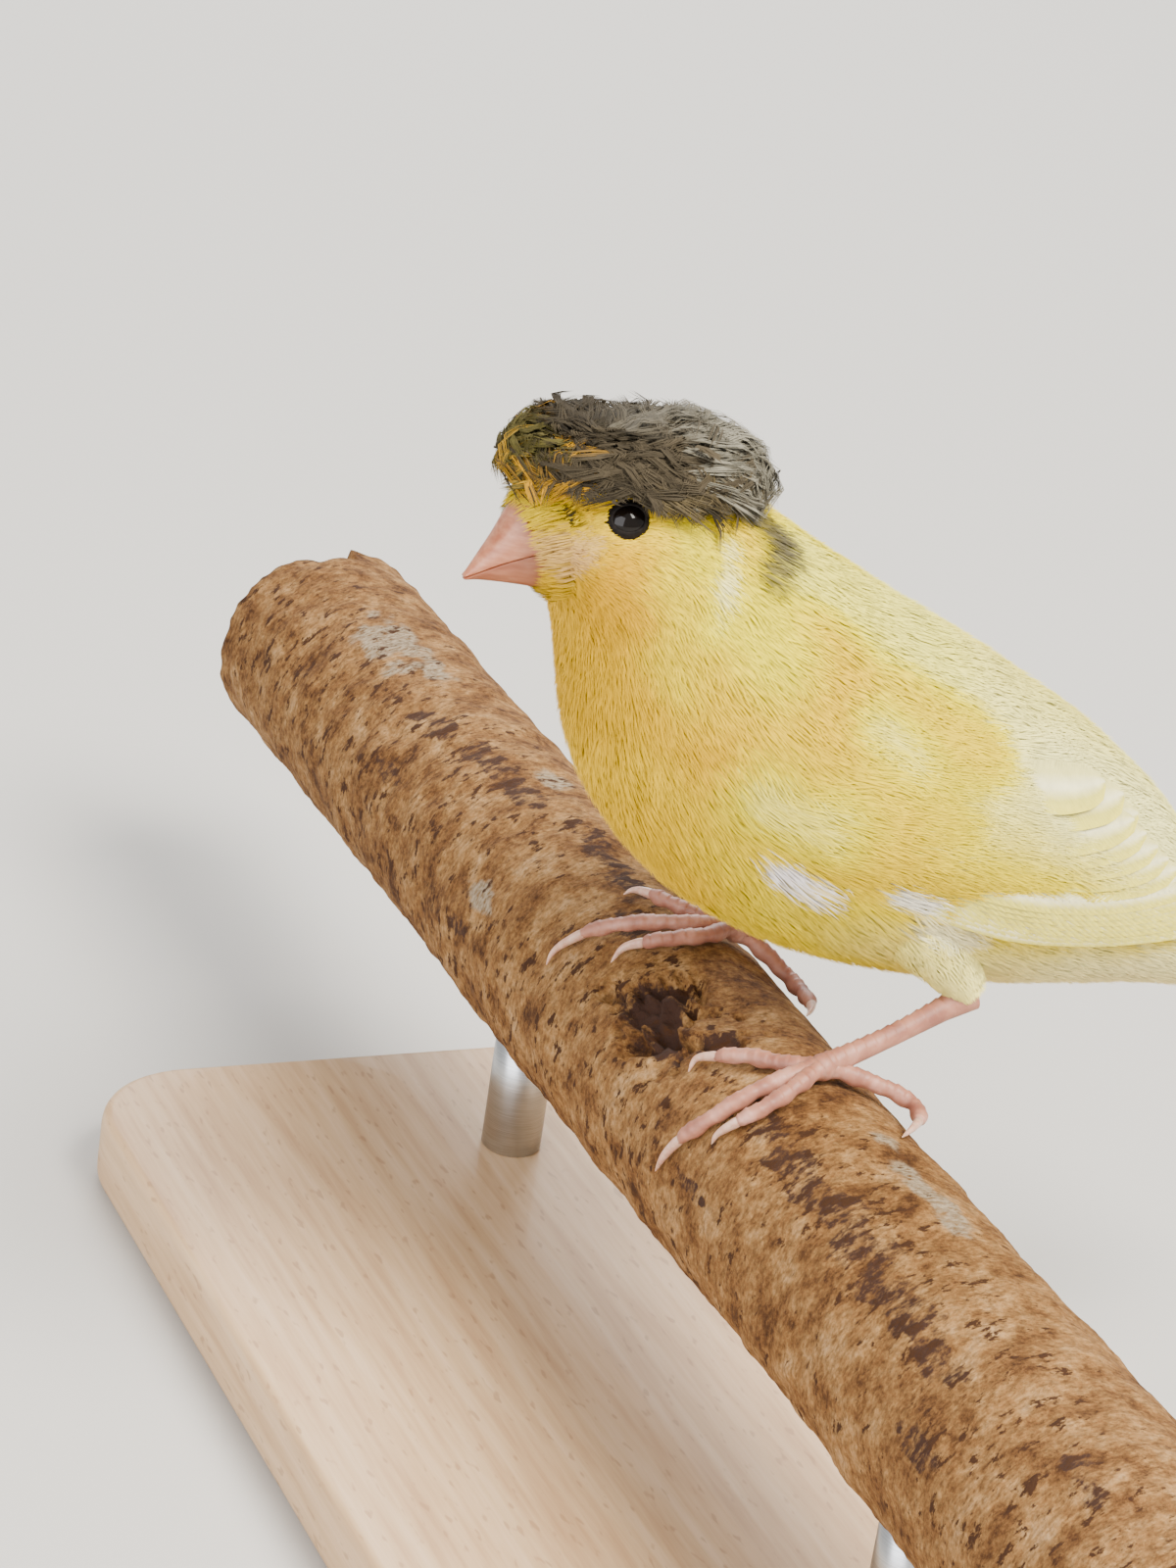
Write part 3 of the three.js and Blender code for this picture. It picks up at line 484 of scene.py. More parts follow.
def plumage(name, settings):
    made, tree, shader = new_material(name, settings)
    colour = add(tree, "Attribute", {"attribute_name": "Markings"})
    where = add(tree, "TexCoord").outputs["Object"]
    grain = add(tree, "TexNoise", {"Scale": 1 / (BARB_WIDTH_MM * MM * BARBS_A_GRAIN), "Detail": 2.0},
                {"Vector": where})
    shade = add(tree, "MapRange", {"From Min": 0.25, "From Max": 0.75, "To Min": 0.9, "To Max": 1.1},
                {"Value": grain})
    shaded = add(tree, "VectorMath", {"operation": "SCALE"}, {0: colour, "Scale": shade})
    surface(shader, shaded)
    return made


# Keratin glints in the feather's own colour, so the highlight is yellow and never chalky
GLINT = (*linear("#f2cf6a"), 1)
silk = plumage("silky canary plumage", {
    "Roughness": 0.68, "Specular IOR Level": 0.15, "Specular Tint": GLINT,
    "Sheen Weight": 0.05, "Sheen Roughness": 0.5, "Sheen Tint": GLINT})
# Down has no flat vanes, so it is duller than the coat and recedes between the feathers
skin_down = plumage("down over bird skin", {"Roughness": 0.85, "Specular IOR Level": 0.1})
# Loose barbs point every way, so the crest reads as soft and almost without shine
crest_plumage = plumage("loose crest plumage", {"Roughness": 0.75, "Specular IOR Level": 0.12})
print("plumage:", silk.name, "/", skin_down.name, "/", crest_plumage.name)

# %% [markdown]
# The skin is the loft drawn in by the depth of the coat. It hardly shows, but it closes every gap between
# feathers like the down of a living bird, in the markings' colour darkened as painted shade, since the gaps
# lie in the feathers' shade. It could be shrunk from the solids with a modifier, but the loft's own rings
# give it an unwrap for nothing: round the body across the map, and from bill to tail up it. A shallow socket
# is pressed in round each eye.

# %% The skin's rings
SKIN_ROWS, SKIN_TURNS = 150, 96
BAKE_EDGE = 0.02
SOCKET_DEEP, SOCKET_WIDE, SOCKET_EDGE = 1.1, 2.4, 0.8


def coat_depth(station):
    """How deep the feathers lie over the skin: thin on the face, deep on the belly."""
    return np.interp(station, [0, 2, 4, 6, 9, 13, 16], [0.35, 0.5, 0.9, 1.2, 1.5, 1.2, 0.7])


def bake_place(station, turn):
    """Where a place on the bird lies on the skin's unwrap."""
    inside = 1 - 2 * BAKE_EDGE
    return np.stack([BAKE_EDGE + inside * np.mod(turn, 2 * math.pi) / (2 * math.pi),
                     BAKE_EDGE + inside * np.clip(station, 0, LAST) / LAST], -1)


EYE_STATION, EYE_TURN, EYE_DEPTH, EYE_RADIUS = 2.46, 1.07, 1.45, 2.1
eye_entry = look_up(np.array([EYE_STATION]), np.array([EYE_TURN]))[0]
eye_surface, eye_out = eye_entry[:3], unit(eye_entry[3:6])
eye_middle = eye_surface - eye_out * EYE_DEPTH
EYE_OPENING = (1.4, 1.12)
EYE_LONG_WAY = unit(np.cross([0.15, 0, 1.0], eye_out))
EYE_SHORT_WAY = np.cross(eye_out, EYE_LONG_WAY)
MIRROR = np.array([1, -1, 1])

rows_s, turns_t = np.meshgrid(np.linspace(0, LAST, SKIN_ROWS),
                              np.arange(SKIN_TURNS) * 2 * math.pi / SKIN_TURNS, indexing="ij")
entry = look_up(rows_s, turns_t)
skin_rings = entry[..., :3] - entry[..., 3:6] * coat_depth(rows_s)[..., None]
for side in (1, MIRROR):
    gap = np.linalg.norm(skin_rings - eye_surface * side, axis=-1, keepdims=True)
    skin_rings = skin_rings - (eye_out * side) * SOCKET_DEEP * ease((SOCKET_WIDE - gap) / SOCKET_EDGE)
skin_points, skin_faces = tube(skin_rings)
hubs = bake_place(np.array([0.0, LAST]), np.array([0.0, 0.0]))
skin_bake = np.vstack([bake_place(rows_s, turns_t).reshape(-1, 2), hubs])
print("left eye's middle:", np.round(eye_middle, 1), "mm")

# %% [markdown]
# A canary's thigh is a small pear of muscle that tapers to the heel, mostly hidden in the flank feathers.
# It is a tapered tube on the same mesh as the skin, so one down-coloured piece stands in for all the flesh.

# %% Thighs and the skin
LEG_HEELS = {"left": np.array([-16.4, 10.4, 19.0]), "right": np.array([-21.2, -10.4, 19.0])}
THIGH_GIRTH = [4.4, 4.2, 3.5, 2.7, 1.9]
# From the heel: ahead, inwards and up
THIGH_ROOT = (8.5, 1.2, 9.5)
# Painted shade: the down and the wing bed take the markings at this share, as they show only in the gaps
# between feathers, where shade falls
DOWN_PAINTED_SHADE = 0.8


def thigh_rings(heel, shrink, rows=24, sides=24):
    """The thigh tapers from the flank to the heel."""
    side = np.sign(heel[1])
    root = heel + np.array(THIGH_ROOT) * [1, -side, 1]
    end = heel + np.array([0.2, 0, 0.4])
    line = root + (end - root) * np.linspace(0, 1, rows)[:, None]
    forward = unit(end - root)
    across = unit(np.cross(forward, [0, 0, 1]))
    lift = np.cross(across, forward)
    girth = np.interp(np.linspace(0, 4, rows), range(5), THIGH_GIRTH) - shrink
    angle = np.arange(sides) * 2 * math.pi / sides
    spokes = np.cos(angle)[:, None] * across + np.sin(angle)[:, None] * lift
    return line[:, None] + girth[:, None, None] * spokes, spokes, forward


thigh_parts = [tube(thigh_rings(heel, 0.6)[0]) for heel in LEG_HEELS.values()]
all_points, all_faces = gather([(skin_points, skin_faces), *thigh_parts])
thigh_bake = np.vstack([np.linspace([0.3, 0.1], [0.32, 0.12], len(p)) for p, _ in thigh_parts])
# The skin's colour is the markings darkened by painted shade
new_piece("skin", all_points, all_faces, skin_down, "plumage_yellow", mark(all_points) * DOWN_PAINTED_SHADE,
          np.vstack([skin_bake, thigh_bake]),
          swaps=("head", "neck", "torso", "thigh_left", "thigh_right"))

# %% [markdown]
# One barb of a feather is a slim closed blade: rings of three corners with a low ridge, drawn to a point at
# the tip. A flat card with a cut-out picture would be cheaper, but it has no thickness and vanishes edge
# on. Thousands are written at once, with one pattern of triangles repeated.

# %% Barbs in bulk
ROUND_BARB = 0.3
BAKE_PATCH = 0.003


def barbs(paths, ups, widths, ridge=0.3):
    """Blades along paths (n, k, 3) with outward directions ups and half widths (n, k), and their normals."""
    count, knots, _ = paths.shape
    forward = np.gradient(paths, axis=1)
    across = unit(np.cross(forward, ups))
    rings = paths[:, :-1]
    half = widths[:, :-1, None]
    left = rings - across[:, :-1] * half
    right = rings + across[:, :-1] * half
    top = rings + ups[:, :-1] * half * ridge
    corners = np.stack([left, top, right], 2).reshape(count, -1, 3)
    points = np.concatenate([corners, paths[:, -1:]], 1)
    tilt = across[:, :-1] * ROUND_BARB
    out = ups[:, :-1]
    sides = unit(np.stack([out - tilt, out, out + tilt], 2)).reshape(count, -1, 3)
    normals = np.concatenate([sides, ups[:, -1:]], 1).reshape(-1, 3)
    per = points.shape[1]
    pattern = []
    for ring in range(knots - 2):
        for k in range(3):
            a, b = 3 * ring + k, 3 * ring + (k + 1) % 3
            pattern += [(a, b, a + 3), (b, b + 3, a + 3)]
    end = 3 * (knots - 2)
    pattern += [(end + k, end + (k + 1) % 3, per - 1) for k in range(3)]
    pattern.append((0, 2, 1))
    faces = np.array(pattern)[None] + (np.arange(count) * per)[:, None, None]
    return points.reshape(-1, 3), faces.reshape(-1, 3), per, normals


def barb_bake(roots, knots):
    """A tiny patch for each barb at its root's place on the map."""
    along, half = np.linspace(0, BAKE_PATCH, knots), BAKE_PATCH / 2
    offsets = [(across, along[ring]) for ring in range(knots - 1) for across in (-half, 0, half)]
    offsets.append((0, along[-1]))
    return (roots[:, None] + np.array(offsets)[None]).reshape(-1, 2)


straight = np.linspace([[0.0, 0, 0]], [[2.0, 0, 0]], 3, axis=1)
_, one_barb, per_barb, _ = barbs(straight, np.full((1, 3, 3), [0.0, 0, 1]), np.full((1, 3), 0.1))
print("one barb:", per_barb, "points,", len(one_barb), "triangles")

# %% [markdown]
# A feather grows from the skin and lies back along the body, so it has to be bent over the loft. Bending
# each one with a modifier would take minutes. Instead, some millimetres ahead and sideways are turned into
# a change of station and turn, by the slopes in the table, for all feathers at once. Roots are scattered
# evenly by area.

# %% Going along the body
LEAST_GAUGE = 0.3


def along_body(station, turn, forward, sideways):
    """The station and turn reached by going some millimetres along and across the body."""
    place = look_up(station, turn)
    normal, ps, pt = place[..., 3:6], place[..., 6:9], place[..., 9:12]
    lie = look_up(station, turn, LIE_TABLE)
    go = lie * forward[..., None] + np.cross(normal, lie) * sideways[..., None]
    f = unit(ps)
    g = np.cross(normal, f)
    gauge = (pt * g).sum(-1)
    dt = (go * g).sum(-1) / np.where(np.abs(gauge) < LEAST_GAUGE, LEAST_GAUGE, gauge)
    ds = ((go * f).sum(-1) - dt * (pt * f).sum(-1)) / np.linalg.norm(ps, axis=-1)
    return station + ds, turn + dt


def scatter(draw, count, first, last, weight):
    """Stations and turns spread evenly by area, times a weight, between two stations."""
    area = np.linalg.norm(np.cross(table_ps, table_pt), axis=-1)
    area = np.where((table_s >= first) & (table_s < last), area, 0) * weight
    total = np.cumsum(area.ravel())
    picks = (np.arange(count) + draw.random(count)) / count * total[-1]
    cells = np.searchsorted(total, picks)
    i, j = np.unravel_index(np.minimum(cells, area.size - 1), area.shape)
    station = (i + draw.random(count)) / (TABLE_ROWS - 1) * LAST
    turn = (j + draw.random(count)) / TABLE_TURNS * 2 * math.pi
    return station, turn


def feather_length(station):
    """Short on the face, longest on the belly, in millimetres."""
    return np.interp(station, [0, 1, 2, 3, 4.5, 6, 8, 11, 14, 16],
                     [1.3, 1.7, 2.1, 2.8, 3.8, 5.2, 7.0, 8.0, 7.5, 7.0])


print("feathers from", feather_length(0.0), "mm on the face to", feather_length(11.0), "mm on the belly")

# %% [markdown]
# A body feather is a fan of barbs from one root, longest in the middle, so its tip is round. The root is
# sunk in the skin and the tip lies on the outline. A single leaf shape would look like a scale, and
# separate barbs give the soft broken edge that plumage has. Feathers vary a little in length, turn, lift
# and tone, all from seeded draws.

# %% A fan of barbs
FAN_KNOTS = 3
# How much the barbs of one feather differ in length, and feathers in their turn and lift
FRAY, YAW, LIFT = 0.12, 0.13, 0.16
# The root's stalk as a share of the length, and how far the fan is open at its root
STALK, OPEN_AT_ROOT = 0.08, 0.3
BARB_OVERLAP = 1.5


def fan(draw, station, turn, length, half_width, per_feather, loose, above=0.0):
    """Barb paths, outward directions, half widths, roots and tones for fans of barbs at those roots."""
    n = len(station)
    spread = (np.arange(per_feather) + 0.5) / per_feather * 2 - 1
    spread = spread[None] + draw.normal(0, 0.6 / per_feather, (n, per_feather))
    reach = np.sqrt(np.clip(1 - 0.75 * spread ** 2, 0.1, 1)) * (1 + draw.normal(0, FRAY, (n, per_feather)))
    yaw = draw.normal(0, YAW, (n, 1))
    lift = draw.normal(0, LIFT, (n, 1)) + np.abs(draw.normal(0, 1, (n, per_feather))) * loose
    steps = np.linspace(0, 1, FAN_KNOTS)
    stations, turns = (np.repeat(root[:, None], per_feather, 1) for root in (station, turn))
    stalk = STALK * np.abs(spread)
    paths, ups = [], []
    for t in steps:
        x = length[:, None] * (stalk + (reach - stalk) * t)
        y = half_width[:, None] * spread * (OPEN_AT_ROOT + (1 - OPEN_AT_ROOT) * t ** 0.7)
        ahead, aside = x * np.cos(yaw) - y * np.sin(yaw), x * np.sin(yaw) + y * np.cos(yaw)
        s, u = along_body(stations, turns, ahead, aside)
        place = look_up(s, u)
        sunk = coat_depth(s) * (1 - t) ** 1.3 * 1.1
        height = -sunk + (lift * 0.6 + above) * t + look_up(s, u, WING_TABLE)[..., 0] - 0.05
        paths.append(place[..., :3] + place[..., 3:6] * height[..., None])
        ups.append(place[..., 3:6])
    paths = np.stack(paths, 2).reshape(-1, FAN_KNOTS, 3)
    ups = np.stack(ups, 2).reshape(-1, FAN_KNOTS, 3)
    profile = np.interp(steps, [0, 0.5, 1], [0.7, 1.0, 0.5])
    barb_half = half_width[:, None] / per_feather * BARB_OVERLAP * np.ones((1, per_feather))
    widths = barb_half.reshape(-1, 1) * profile
    tone = np.repeat(draw.normal(0, 1, n), per_feather) * 0.6
    tone = tone + draw.normal(0, 1, n * per_feather) * 0.5
    roots = bake_place(np.repeat(station, per_feather), np.repeat(turn, per_feather))
    return paths, ups, widths, roots, tone


one_fan = fan(np.random.default_rng(0), *np.array([[9.0], [1.5], [6.0], [1.8]]), 18, 0.1)[0]
print("a breast feather is", np.round(np.ptp(one_fan.reshape(-1, 3), axis=0), 1), "mm ahead, across and up")

# %% [markdown]
# A coat piece is all the fans of one region, turned into blades and coloured. Colours could be looked up at
# every corner, but a real barb has nearly one colour, so it is read once, where its tip lies. Painted shade
# then darkens it towards its root, which lies under the feathers ahead, and its tip is a little lighter.
# That dark to light step is what lets the eye tell feather from feather.

# %% From fans to a coat piece
ROUGH_EDGE = 0.35
# Painted shade along each barb: darker at the root, which lies under the feathers ahead, a little lighter at
# the tip
ROOT_PAINTED_SHADE, NEAR_TIP_PAINTED_SHADE, TIP_PAINTED_SHADE = 0.9, 1.03, 1.04
TONE_SIZE = 0.05


def dress(name, draw, fans, slot, swaps=(), keep=None, tint=mark, material=silk):
    """One coat piece from fans of barbs, coloured by the markings where each barb lies."""
    parts = [np.concatenate(part) for part in zip(*fans)]
    if keep is not None:
        chosen = keep(parts[0])
        parts = [part[chosen] for part in parts]
    paths, ups, widths, roots, tone = parts
    points, faces, per, normals = barbs(paths, ups, widths)
    knots = paths.shape[1]
    colours = tint(paths[:, -1], ROUGH_EDGE, draw)
    # Painted shade from the barb's root to its tip
    shade = np.append(np.repeat(np.linspace(ROOT_PAINTED_SHADE, NEAR_TIP_PAINTED_SHADE, knots)[:-1], 3), TIP_PAINTED_SHADE)
    colours = colours[:, None] * shade[None, :, None] * (1 + TONE_SIZE * tone)[:, None, None]
    new_piece(name, points, faces, material, slot, np.clip(colours, 0, 1).reshape(-1, 3),
              barb_bake(roots, knots), normals, swaps)

# %% [markdown]
# A small songbird has two or three thousand body feathers, small and close on the face, broad and loose on
# the belly. Seven pieces from bill to tail keep each mesh light, and each has its own count and looseness.
# Feathers that would lie over the eye or under the folded flight feathers are left out: there the bird is
# bare or flat.

# %% The body's coat
EYE_CLEAR = np.array([1.48, 1.2, 2.5])
COAT = [
    # (piece, first station, last station, feathers, barbs a feather, looseness, seed)
    ("coat_face", 0.04, 2.6, 1900, 7, 0.05, 11),
    ("coat_head", 2.6, 4.6, 1500, 10, 0.08, 12),
    ("coat_neck", 4.6, 6.6, 1150, 14, 0.10, 13),
    ("coat_breast", 6.6, 8.4, 1000, 18, 0.10, 14),
    ("coat_middle", 8.4, 10.6, 1000, 18, 0.10, 15),
    ("coat_rear", 10.6, 14.4, 1000, 18, 0.12, 16),
    ("coat_tail", 14.3, 15.9, 190, 18, 0.08, 17),
]
FEATHER_SLIM, LENGTH_VARIES = 0.3, 0.1


def off_the_eyes(paths):
    """True for the barbs whose outer half stays clear of both eyes' openings."""
    eye_frame = np.stack([EYE_LONG_WAY, EYE_SHORT_WAY, eye_out], -1)
    clear = np.ones(len(paths), bool)
    for side in (1, MIRROR):
        for knot in (-1, -2):
            from_eye = (paths[:, knot] * side - eye_surface) @ eye_frame
            clear &= np.linalg.norm(from_eye / EYE_CLEAR, axis=-1) > 1
    return clear


# The lower flight feathers lie below a line (height, slope, shift) and behind these places
PRIMARY_LINE = (33.0, 0.163, 8.3)
FLIGHT_FROM, BACK_FROM = -12, -25
under_primaries = table_p[..., 2] < PRIMARY_LINE[0] + PRIMARY_LINE[1] * (table_p[..., 0] + PRIMARY_LINE[2])
far_back = (wing_depth > 2.5) & (table_p[..., 0] < BACK_FROM)
bare = (wing_depth > -1.5) & (table_p[..., 0] < FLIGHT_FROM) & under_primaries
under_wing = (far_back | bare) & (np.abs(np.sin(table_t)) > SIDE_FROM)
for name, first, last, count, per_feather, loose, seed in COAT:
    draw = np.random.default_rng(seed)
    station, turn = scatter(draw, count, first, last, np.where(under_wing, 0.0, 1.0))
    length = feather_length(station) * (1 + draw.normal(0, LENGTH_VARIES, count))
    made = fan(draw, station, turn, length, length * FEATHER_SLIM, per_feather, loose)
    dress(name, draw, [made], "plumage_yellow", keep=off_the_eyes)

# %% [markdown]
# The crest is what this bird was bred for: long feathers that spread from a point on the crown and fall
# like a mop to the eyes. It could be a second body with its own loft, but its feathers all start from one
# point. So its shape is an arch, which has its own reach, drop and rise in each direction from the crown.

# %% The crest's arch
CROWN = np.array([24.6, 0, 70.5])
# From straight ahead round to straight behind
CREST_REACH = [9.2, 9.0, 8.6, 8.2, 9.6, 13.8, 17.4]
CREST_DROP = [3.3, 3.2, 1.9, 1.6, 4.2, 5.2, 5.9]
CREST_RISE = [2.0, 1.9, 1.7, 1.6, 1.9, 2.5, 3.0]


def crest_arch(angle, share, lift):
    """The place at a heading and a share of the way from the crown to the crest's rim."""
    around = np.abs(np.arctan2(np.sin(angle), np.cos(angle))) / math.pi
    knots = np.linspace(0, 1, len(CREST_REACH))
    reach, drop, rise = (np.interp(around, knots, row) for row in (CREST_REACH, CREST_DROP, CREST_RISE))
    fall = math.pi / 2 * share
    height = rise * np.sin(2 * fall) - drop * (1 - np.cos(fall)) + lift
    far = reach * np.sin(fall)
    return CROWN + np.stack([far * np.cos(angle), far * np.sin(angle), height], -1)


crest_front, crest_back = (crest_arch(np.array(angle), 1.0, 0.0) for angle in (0.0, math.pi))
print(f"crest: {crest_front[0] - crest_back[0]:.1f} mm from front to back")

# %% [markdown]
# The crest is olive grey, paler and cooler behind, and a little yellow comes through in front. Its feathers
# curl, and neighbours curl alike, which makes it lumpy. Random bends for each feather would only blur it,
# so the curl is a shift that waves through space and takes whole groups of feathers along.

# %% The crest's colours and curl
CREST_GROUND = "#40382a"
CREST_STROKES = [
    ((20, 0, 73), (10, 0, 69), 3.8, "#5e584b", 0.85, 0.7),
    ((12, 3, 70), (8, 5, 64), 4.0, "#858070", 0.85, 0.7),
    ((20, 8.5, 66.5), (13, 9, 66), 1.6, "#55492f", 0.7, 0.6),
    ((33, 2.0, 70.5), (33.6, 1.5, 67.5), 2.2, "#5f5728", 0.8, 0.6),
    ((29.6, 4.2, 70.6), (31.6, 4.6, 66.6), 1.2, "#c28c10", 0.97, 0.5),
    ((34.0, 0.4, 68.0), (32.6, 3.4, 66.0), 0.8, "#b98a1c", 0.85, 0.6),
]

CURL_WAVES = [((1.9, 0.8, -0.9), 0.4, 0.22), ((-0.7, 2.2, 0.7), 2.1, 0.2), ((1.0, -1.3, 2.4), 4.0, 0.18)]


def crest_tint(points, rough, draw):
    spots = points + draw.normal(0, rough, points.shape)
    spots[:, 1] = np.abs(spots[:, 1])
    return stroked(spots, CREST_GROUND, CREST_STROKES)


def curl(points):
    """A shift that waves from place to place, so neighbouring tufts curl together and the crest is lumpy."""
    shift = np.zeros(points.shape)
    for way, phase, size in CURL_WAVES:
        wave = points @ np.array(way) + phase
        shift += size * np.stack([np.sin(wave), np.cos(1.3 * wave), np.sin(0.8 * wave + 1)], -1)
    return shift


print("crest:", len(CREST_STROKES), "strokes on", CREST_GROUND, "and", len(CURL_WAVES), "waves of curl")

# %% [markdown]
# Each tuft starts somewhere on an arch from the crown and runs a part of the way down it, so the tufts lie
# in layers like thatch. Feathers that all ran from the crown to the rim would pile up at the crown. A deep
# layer makes the rim that hangs to the eyes, and an upper layer covers the rest. Some tufts are dark
# streaks.

# %% The crest's tufts
CREST_HEART = np.array([19, 0, 60])
CREST_KNOTS, CREST_COUNT, CREST_BARBS = 4, 800, 12
DARK_SHARE, DARK_TONE = 0.28, -6.0
CREST_LAYERS = [
    # (piece, where on the arch tufts end, height over the arch, how much of the arch they run)
    ("crest_under", (0.72, 1.08), (-0.7, 0.1), (0.25, 0.6)),
    ("crest_over", (0.14, 0.92), (-0.4, 0.45), (0.12, 0.38)),
]


def crest_tufts(draw, shares, lifts, runs):
    """Barb paths, outward directions, half widths, roots and tones of one layer of tufts."""
    count, barb_count = CREST_COUNT, CREST_BARBS
    angle = draw.random(count) * 2 * math.pi
    end = draw.uniform(*shares, count)
    start = np.maximum(end - draw.uniform(*runs, count), 0)
    lift = draw.uniform(*lifts, count)
    half_width = draw.uniform(0.4, 0.8, count)
    bend = draw.normal(0, 0.4, count)
    jitter = draw.normal(0, 0.3, (count, 3))
    stray = np.abs(draw.normal(0, 0.3, count))
    spread = (np.arange(barb_count) + 0.5) / barb_count * 2 - 1
    spread = spread + draw.normal(0, 0.5 / barb_count, (count, barb_count))
    reach = 1 - 0.25 * spread ** 2 + draw.normal(0, 0.07, (count, barb_count))
    paths = []
    for t in np.linspace(0, 1, CREST_KNOTS):
        share = start[:, None] + (end - start)[:, None] * t * reach
        heading = angle[:, None] + bend[:, None] * t ** 2
        high = lift[:, None] + stray[:, None] * t - 0.9 * (1 - t) ** 2
        middle = crest_arch(heading, share, high)
        side = np.stack([-np.sin(heading), np.cos(heading), np.zeros_like(heading)], -1)
        wide = half_width[:, None] * spread * (0.35 + 0.65 * t ** 0.6)
        paths.append(middle + side * wide[..., None] + curl(middle) * (0.4 + 0.6 * t) + jitter[:, None])
    paths = np.stack(paths, 2).reshape(-1, CREST_KNOTS, 3)
    ups = unit(paths - CREST_HEART)
    profile = np.interp(np.linspace(0, 1, CREST_KNOTS), [0, 0.5, 1], [0.8, 1.0, 0.5])
    widths = np.repeat(half_width / barb_count * BARB_OVERLAP, barb_count)[:, None] * profile
    streak = np.where(draw.random(count) < DARK_SHARE, DARK_TONE, 0.0) + draw.normal(0, 2.6, count)
    tone = np.repeat(streak, barb_count) + draw.normal(0, 1.6, count * barb_count)
    roots = np.stack([angle / (2 * math.pi), start], -1) * 0.94 + 0.03
    return paths, ups, widths, np.repeat(roots, barb_count, 0), tone


draw = np.random.default_rng(21)
for name, shares, lifts, runs in CREST_LAYERS:
    dress(name, draw, [crest_tufts(draw, shares, lifts, runs)], "plumage_crest",
          swaps=("crest",), tint=crest_tint, material=crest_plumage)

# %% [markdown]
# A wing's feathers are known best from the side, where the photograph shows their roots and tips. Modelling
# them flat and shrinking them onto the body would bend their edges. So a place in the side view is turned
# into a place on the loft first: a search by halves finds the ring that stands at it.

# %% From the side view to the loft
NEAREST_BACK = 0.5
NEAREST_TAIL = 1.1
HALVINGS = 30


def seen_from_side(ahead, up):
    """The station and turn that the side view shows at a place."""
    low, high = np.zeros(ahead.shape), np.full(ahead.shape, float(LAST))
    for _ in range(HALVINGS):
        station = (low + high) / 2
        ring = smooth_line(STATIONS, station)
        middle, half = (ring[..., 0:2] + ring[..., 2:4]) / 2, (ring[..., 2:4] - ring[..., 0:2]) / 2
        beyond = (ahead - middle[..., 0]) * half[..., 1] - (up - middle[..., 1]) * half[..., 0] > 0
        high = np.where(beyond, station, high)
        low = np.where(beyond, low, station)
    rise = (ahead - middle[..., 0]) * half[..., 0] + (up - middle[..., 1]) * half[..., 1]
    return station, np.arccos(np.clip(rise / (half ** 2).sum(-1), -1, 1))


def off_the_side(ahead, up, off):
    """Places at a height off the loft's side, and their outward directions."""
    station, turn = seen_from_side(ahead, up)
    near = np.maximum(turn, NEAREST_BACK)
    out = look_up(np.minimum(station, LAST - NEAREST_TAIL), near)[..., 3:6]
    base = np.stack([ahead, look_up(station, near)[..., 1], up], -1)
    return base + out * off[..., None], out


station, turn = seen_from_side(np.array([0.0]), np.array([40.0]))
print("level with the branch, 40 mm up: station", round(float(station[0]), 2))

# %% [markdown]
# A flight or tail feather is a stiff blade on a shaft. One bent plane would do from afar. Close up the eye
# looks for the shaft and for the barbs that slant from it, so each is a thin closed vane with its shaft as
# a low ridge, and barbs on both sides with their own small differences in length.

# %% A quill
QUILL_BARBS, BARB_SLANT = 40, 0.09
# Round the vane's section: places across it and heights, in millimetres off its line
VANE_ACROSS = np.array([-1, -0.5, -0.06, 0.06, 0.5, 1, 0.5, -0.5])
VANE_HEIGHT = np.array([-0.04, 0.08, 0.16, 0.16, 0.06, 0, -0.08, -0.12])


